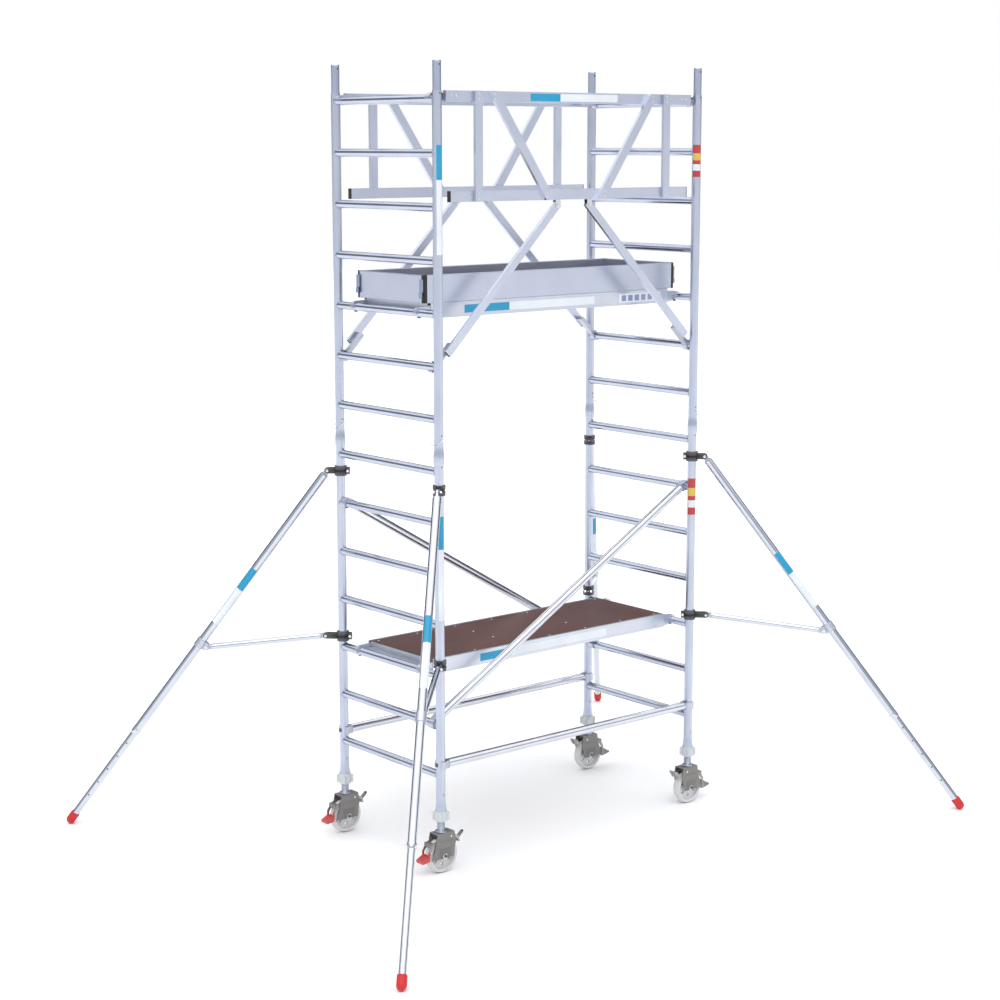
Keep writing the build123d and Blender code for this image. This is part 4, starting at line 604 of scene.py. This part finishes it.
for corner, (ex, ey) in CORNERS.items():
    base = Vector((ex * HX, ey * HY, 0))
    top_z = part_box(f"jack_stem_{corner}")[1].z
    verts, faces = [], []
    around = THREAD_SIDES
    rows = int((top_z - SCREW_FROM) / PITCH * THREAD_STEPS)
    for i in range(rows + 1):
        z = SCREW_FROM + (top_z - SCREW_FROM) * i / rows
        for k in range(around):
            phase = ((z - SCREW_FROM) / PITCH - k / around) % 1.0
            wave = min(1.0, max(0.0, 2.2 * (abs(phase - 0.5) * 2) - 0.6))
            r = ROOT_R + (STEM_R - ROOT_R) * wave
            if i == 0 or i == rows:
                r = ROOT_R
            a = 2 * math.pi * k / around
            verts.append((base.x + r * math.cos(a), base.y + r * math.sin(a), z))
    for i in range(rows):
        for k in range(around):
            n = (k + 1) % around
            faces.append([i * around + k, i * around + n, (i + 1) * around + n, (i + 1) * around + k])
    stem = Builder()
    stem.add(verts, faces)
    stem.lathe([(BORE_R, top_z - 0.03), (ROOT_R, top_z - 0.03), (ROOT_R, top_z), (BORE_R, top_z)],
               base, (0, 0, 1))
    stem.lathe([(1e-5, 0.2137), (12 * mm, 0.2137), (13 * mm, 0.2147), (13 * mm, 0.2247), (12 * mm, 0.2257),
                (8 * mm, 0.2257), (8 * mm, 0.2313), (31.5 * mm, 0.2313), (33 * mm, 0.2328), (33 * mm, 0.2378),
                (31.5 * mm, SCREW_FROM), (24 * mm, SCREW_FROM), (22.5 * mm, 0.2425), (1e-5, 0.2425)],
               base, (0, 0, 1), 48)
    screw = stem.make(f"jack_screw_{corner}", f"jack_{corner}", "screw", "jack_steel", sharp=50)
    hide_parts(f"jack_stem_{corner}")
    paint(f"jack_nut_{corner}", "nylon")
    dress(f"castor_fork_{corner}", fork_finish)
    pads = Builder()
    for sy in (-1, 1):
        for inward, z, wide, tall in ((2, 0.118, 78, 56), (10, 0.184, 94, 5)):
            pads.block((base.x - ex * inward * mm, base.y + sy * 0.0362, z),
                       (wide * mm, 1.6 * mm, tall * mm), chamfer=0.0008)
    pads.make(f"fork_pressings_{corner}", f"fork_{corner}", "fork", "fork_steel")
    heads = Builder()
    for sy in (-1, 1):
        heads.lathe([(1e-5, 0), (15 * mm, 0), (15 * mm, 1.6 * mm), (14 * mm, 2.2 * mm), (1e-5, 2.2 * mm)],
                    (base.x, base.y + sy * CHEEK_FACE, AXLE_Z), (0, sy, 0), 28)
    heads.make(f"axle_washers_{corner}", f"fork_{corner}", "bolt", "fork_steel")
    paint(f"castor_wheel_{corner}", "wheel")
    tread = Builder()
    for sy in (-1, 1):
        for r, half, bead in TREAD_RINGS:
            turns = [2 * math.pi * k / 64 for k in range(64)]
            ring = [(base.x + r * math.cos(a), base.y + sy * half, AXLE_Z + r * math.sin(a)) for a in turns]
            tread.pipe(ring, bead, True, 6)
        tread.lathe([(8 * mm, 29.4 * mm), (24 * mm, 29.4 * mm), (24 * mm, 30.3 * mm), (8 * mm, 30.3 * mm)],
                    (base.x, base.y, AXLE_Z), (0, sy, 0), 32)
    tread.make(f"wheel_rings_{corner}", f"wheel_{corner}", "wheel", "nylon")

    def brake_finish(c, s, p, n, ex=ex, base=base):
        u = (p[0] - base.x) * ex
        if ex < 0:
            return "red" if u > 0.101 else ("black" if u < -0.139 else "grey")
        return "black" if u > 0.173 else "grey"

    dress(f"brake_pedal_{corner}", brake_finish)
    if ex < 0:
        treads = Builder()
        turn = Matrix.Rotation(-math.atan(PEDAL_SLOPE), 3, "Y")
        for i in range(4):
            u = 0.110 + 0.011 * i
            z = 0.1205 - (u - 0.102) * PEDAL_SLOPE
            treads.block((base.x - u, base.y, z), (3 * mm, 0.050, 2.4 * mm), turn, 0.0007)
        treads.make(f"pedal_treads_{corner}", f"brake_{corner}", "red", "pedal_red")

    # stabiliser
    out = Vector((ex, ey, 0)).normalized()
    across = Vector((out.y, -out.x, 0))
    run = (out * math.sin(leg_lean) - Vector((0, 0, 1)) * math.cos(leg_lean)).normalized()
    pivot = base + out * PIVOT_REACH + Vector((0, 0, UPPER_CLAMP))
    body = f"stabiliser_{corner}"
    dress(f"stabiliser_clamps_{corner}", lambda c, s, p, n: "clamp" if s[2] > 0.04 else "bolt")
    bits = Builder()
    for z, reach in ((UPPER_CLAMP, PIVOT_REACH), (LOWER_CLAMP, STRUT_REACH)):
        for s in (-1, 1):
            place = base + out * reach + Vector((0, 0, z)) + across * s * 0.0204
            bits.hexagon(place, across * s, 17 * mm, 4 * mm)
            jaw = base - out * 0.043 + Vector((0, 0, z)) + across * s * 0.0201
            bits.hexagon(jaw, across * s, 17 * mm, 5 * mm)
    bits.make(f"clamp_bolt_heads_{corner}", body, "bolt", "clamp_black")
    dress(f"stabiliser_leg_{corner}", leg_finish)
    paint(f"stabiliser_inner_leg_{corner}", "leg")
    paint(f"stabiliser_foot_{corner}", "rubber")
    fix = Builder()
    for t in (0.046, 0.062):
        for s in (-1, 1):
            fix.dome(pivot + run * t + across * s * 0.0239, across * s, 5 * mm, 3 * mm)
    for t in (LEG_LUG - 0.014, LEG_LUG + 0.014):
        for s in (-1, 1):
            fix.dome(pivot + run * t + across * s * 0.0299, across * s, 4.5 * mm, 2.6 * mm)
    fix.make(f"leg_fixings_{corner}", body, "bolt", "stabiliser_tube")
    collar = Builder()
    collar.lathe([(20.8 * mm, 1.926), (25.2 * mm, 1.926), (25.6 * mm, 1.930), (25.6 * mm, 1.9555),
                  (25.0 * mm, 1.9565), (20.8 * mm, 1.9565)], pivot, run, 40)
    collar.make(f"leg_collar_{corner}", body, "leg", "stabiliser_tube")
    ring_bits = Builder()
    for i in range(4):
        t = 2.58 + 0.012 * i
        ring_bits.lathe([(25 * mm, t), (26.2 * mm, t + 0.001), (26.2 * mm, t + 0.005), (25 * mm, t + 0.006)],
                        pivot, run, 36)
    ring_bits.make(f"foot_grips_{corner}", f"stabiliser_slide_{corner}", "rubber", "foot_rubber")
    facing = Vector((0, -1, 0)) + Vector((-0.6, 0, 0.5))
    blue, white = Builder(), Builder()
    blue.band(pivot, run, LEG_R, facing, 110, 0.720, 0.870)
    white.band(pivot, run, LEG_R, facing, 110, 0.870, 1.120)
    blue.make(f"leg_label_blue_{corner}", body, "label_blue", "stabiliser_tube")
    white.make(f"leg_label_white_{corner}", body, "label_white", "stabiliser_tube")

# ------------------------------------------------------------------ stage, light and camera
floor_z = -0.0006


def stage_material(name, color):
    mat = bpy.data.materials.new(name)
    mat.use_nodes = True
    mat.node_tree.nodes["Principled BSDF"].inputs["Base Color"].default_value = (*color, 1)
    mat.node_tree.nodes["Principled BSDF"].inputs["Roughness"].default_value = 0.9
    mat.node_tree.nodes["Principled BSDF"].inputs["Specular IOR Level"].default_value = 0.0
    return mat


floor_mesh = bpy.data.meshes.new("floor")
reach = 60
floor_corners = [(sx * reach, sy * reach, floor_z) for sx, sy in ((-1, -1), (1, -1), (1, 1), (-1, 1))]
floor_mesh.from_pydata(floor_corners, [], [(0, 1, 2, 3)])
floor = bpy.data.objects.new("floor", floor_mesh)
scene.collection.objects.link(floor)
floor_mesh.materials.append(stage_material("floor_white", (0.97, 0.97, 0.97)))

world = bpy.data.worlds.new("studio")
scene.world = world
world.use_nodes = True
tree = world.node_tree
tree.nodes.clear()


def node(kind, **values):
    made = tree.nodes.new(kind)
    for key, value in values.items():
        made.inputs[key.replace("_", " ")].default_value = value
    return made


def sky(stops):
    """Tone by the height of the direction, from straight down to straight up."""
    ramp = node("ShaderNodeValToRGB")
    parts = ramp.color_ramp.elements
    parts[0].position, parts[0].color = stops[0][0], (*stops[0][1], 1)
    parts[1].position, parts[1].color = stops[-1][0], (*stops[-1][1], 1)
    for place, color in stops[1:-1]:
        parts.new(place).color = (*color, 1)
    tree.links.new(rise.outputs["Result"], ramp.inputs["Fac"])
    return ramp


coord = node("ShaderNodeTexCoord")
split = node("ShaderNodeSeparateXYZ")
rise = node("ShaderNodeMapRange", From_Min=-1.0)
ahead = node("ShaderNodeVectorMath")
ahead.operation = "DOT_PRODUCT"
ahead.inputs[1].default_value = (0.643, 0.766, 0.0)
behind = node("ShaderNodeMapRange", From_Min=-0.1, From_Max=0.45)
both = node("ShaderNodeMix")
both.data_type = "RGBA"
back = node("ShaderNodeBackground", Strength=1.0)
world_out = node("ShaderNodeOutputWorld")
tree.links.new(coord.outputs["Generated"], split.inputs["Vector"])
tree.links.new(split.outputs["Z"], rise.inputs["Value"])
tree.links.new(coord.outputs["Generated"], ahead.inputs[0])
tree.links.new(ahead.outputs["Value"], behind.inputs["Value"])
PALE_GROUND, LIT_CEILING, OVERHEAD = (0.9, 0.9, 0.92), (1.25, 1.26, 1.28), (1.45, 1.45, 1.45)
near = sky([(0.0, PALE_GROUND), (0.50, (0.75, 0.78, 0.84)), (0.60, (0.50, 0.53, 0.60)),
            (0.68, (0.50, 0.53, 0.60)), (0.78, LIT_CEILING), (1.0, OVERHEAD)])
far = sky([(0.0, PALE_GROUND), (0.495, (0.60, 0.62, 0.68)), (0.515, (0.05, 0.05, 0.07)),
           (0.70, (0.06, 0.06, 0.09)), (0.76, LIT_CEILING), (1.0, OVERHEAD)])
tree.links.new(behind.outputs["Result"], both.inputs[0])
tree.links.new(near.outputs["Color"], both.inputs[6])
tree.links.new(far.outputs["Color"], both.inputs[7])
tree.links.new(both.outputs[2], back.inputs["Color"])
tree.links.new(back.outputs["Background"], world_out.inputs["Surface"])

paper = bpy.data.materials.new("backdrop_white")
paper.use_nodes = True
paper.node_tree.nodes.clear()
glow = paper.node_tree.nodes.new("ShaderNodeEmission")
glow.inputs["Color"].default_value = (1.0, 1.0, 1.0, 1)
paper_out = paper.node_tree.nodes.new("ShaderNodeOutputMaterial")
paper.node_tree.links.new(glow.outputs["Emission"], paper_out.inputs["Surface"])
wall_verts, wall_faces = [], []
for k in range(48):
    a = 2 * math.pi * k / 48
    for z in (-1.0, 60.0):
        wall_verts.append((55 * math.cos(a), 55 * math.sin(a), z))
    m = (k + 1) % 48
    wall_faces.append((2 * k, 2 * m, 2 * m + 1, 2 * k + 1))
wall_mesh = bpy.data.meshes.new("backdrop")
wall_mesh.from_pydata(wall_verts, [], wall_faces)
wall = bpy.data.objects.new("backdrop", wall_mesh)
scene.collection.objects.link(wall)
wall_mesh.materials.append(paper)
for ray in ("visible_glossy", "visible_diffuse", "visible_shadow", "visible_transmission"):
    setattr(wall, ray, False)

sun_data = bpy.data.lights.new("sun", "SUN")
sun_data.energy = 0.7
sun_data.angle = math.radians(50)
sun = bpy.data.objects.new("sun", sun_data)
sun.rotation_euler = Vector((0.45, 0.5, -1.0)).to_track_quat("-Z", "Y").to_euler()
scene.collection.objects.link(sun)

camera_data = bpy.data.cameras.new("camera")
camera_data.lens = 74.64
camera_data.sensor_width = 36
camera_data.clip_end = 300
camera = bpy.data.objects.new("camera", camera_data)
camera.location = (-7.7367, -9.0394, 3.9656)
camera.rotation_euler = (math.radians(80.231), math.radians(0.038), math.radians(-40.001))
scene.collection.objects.link(camera)
scene.camera = camera
scene.view_settings.view_transform = "Standard"
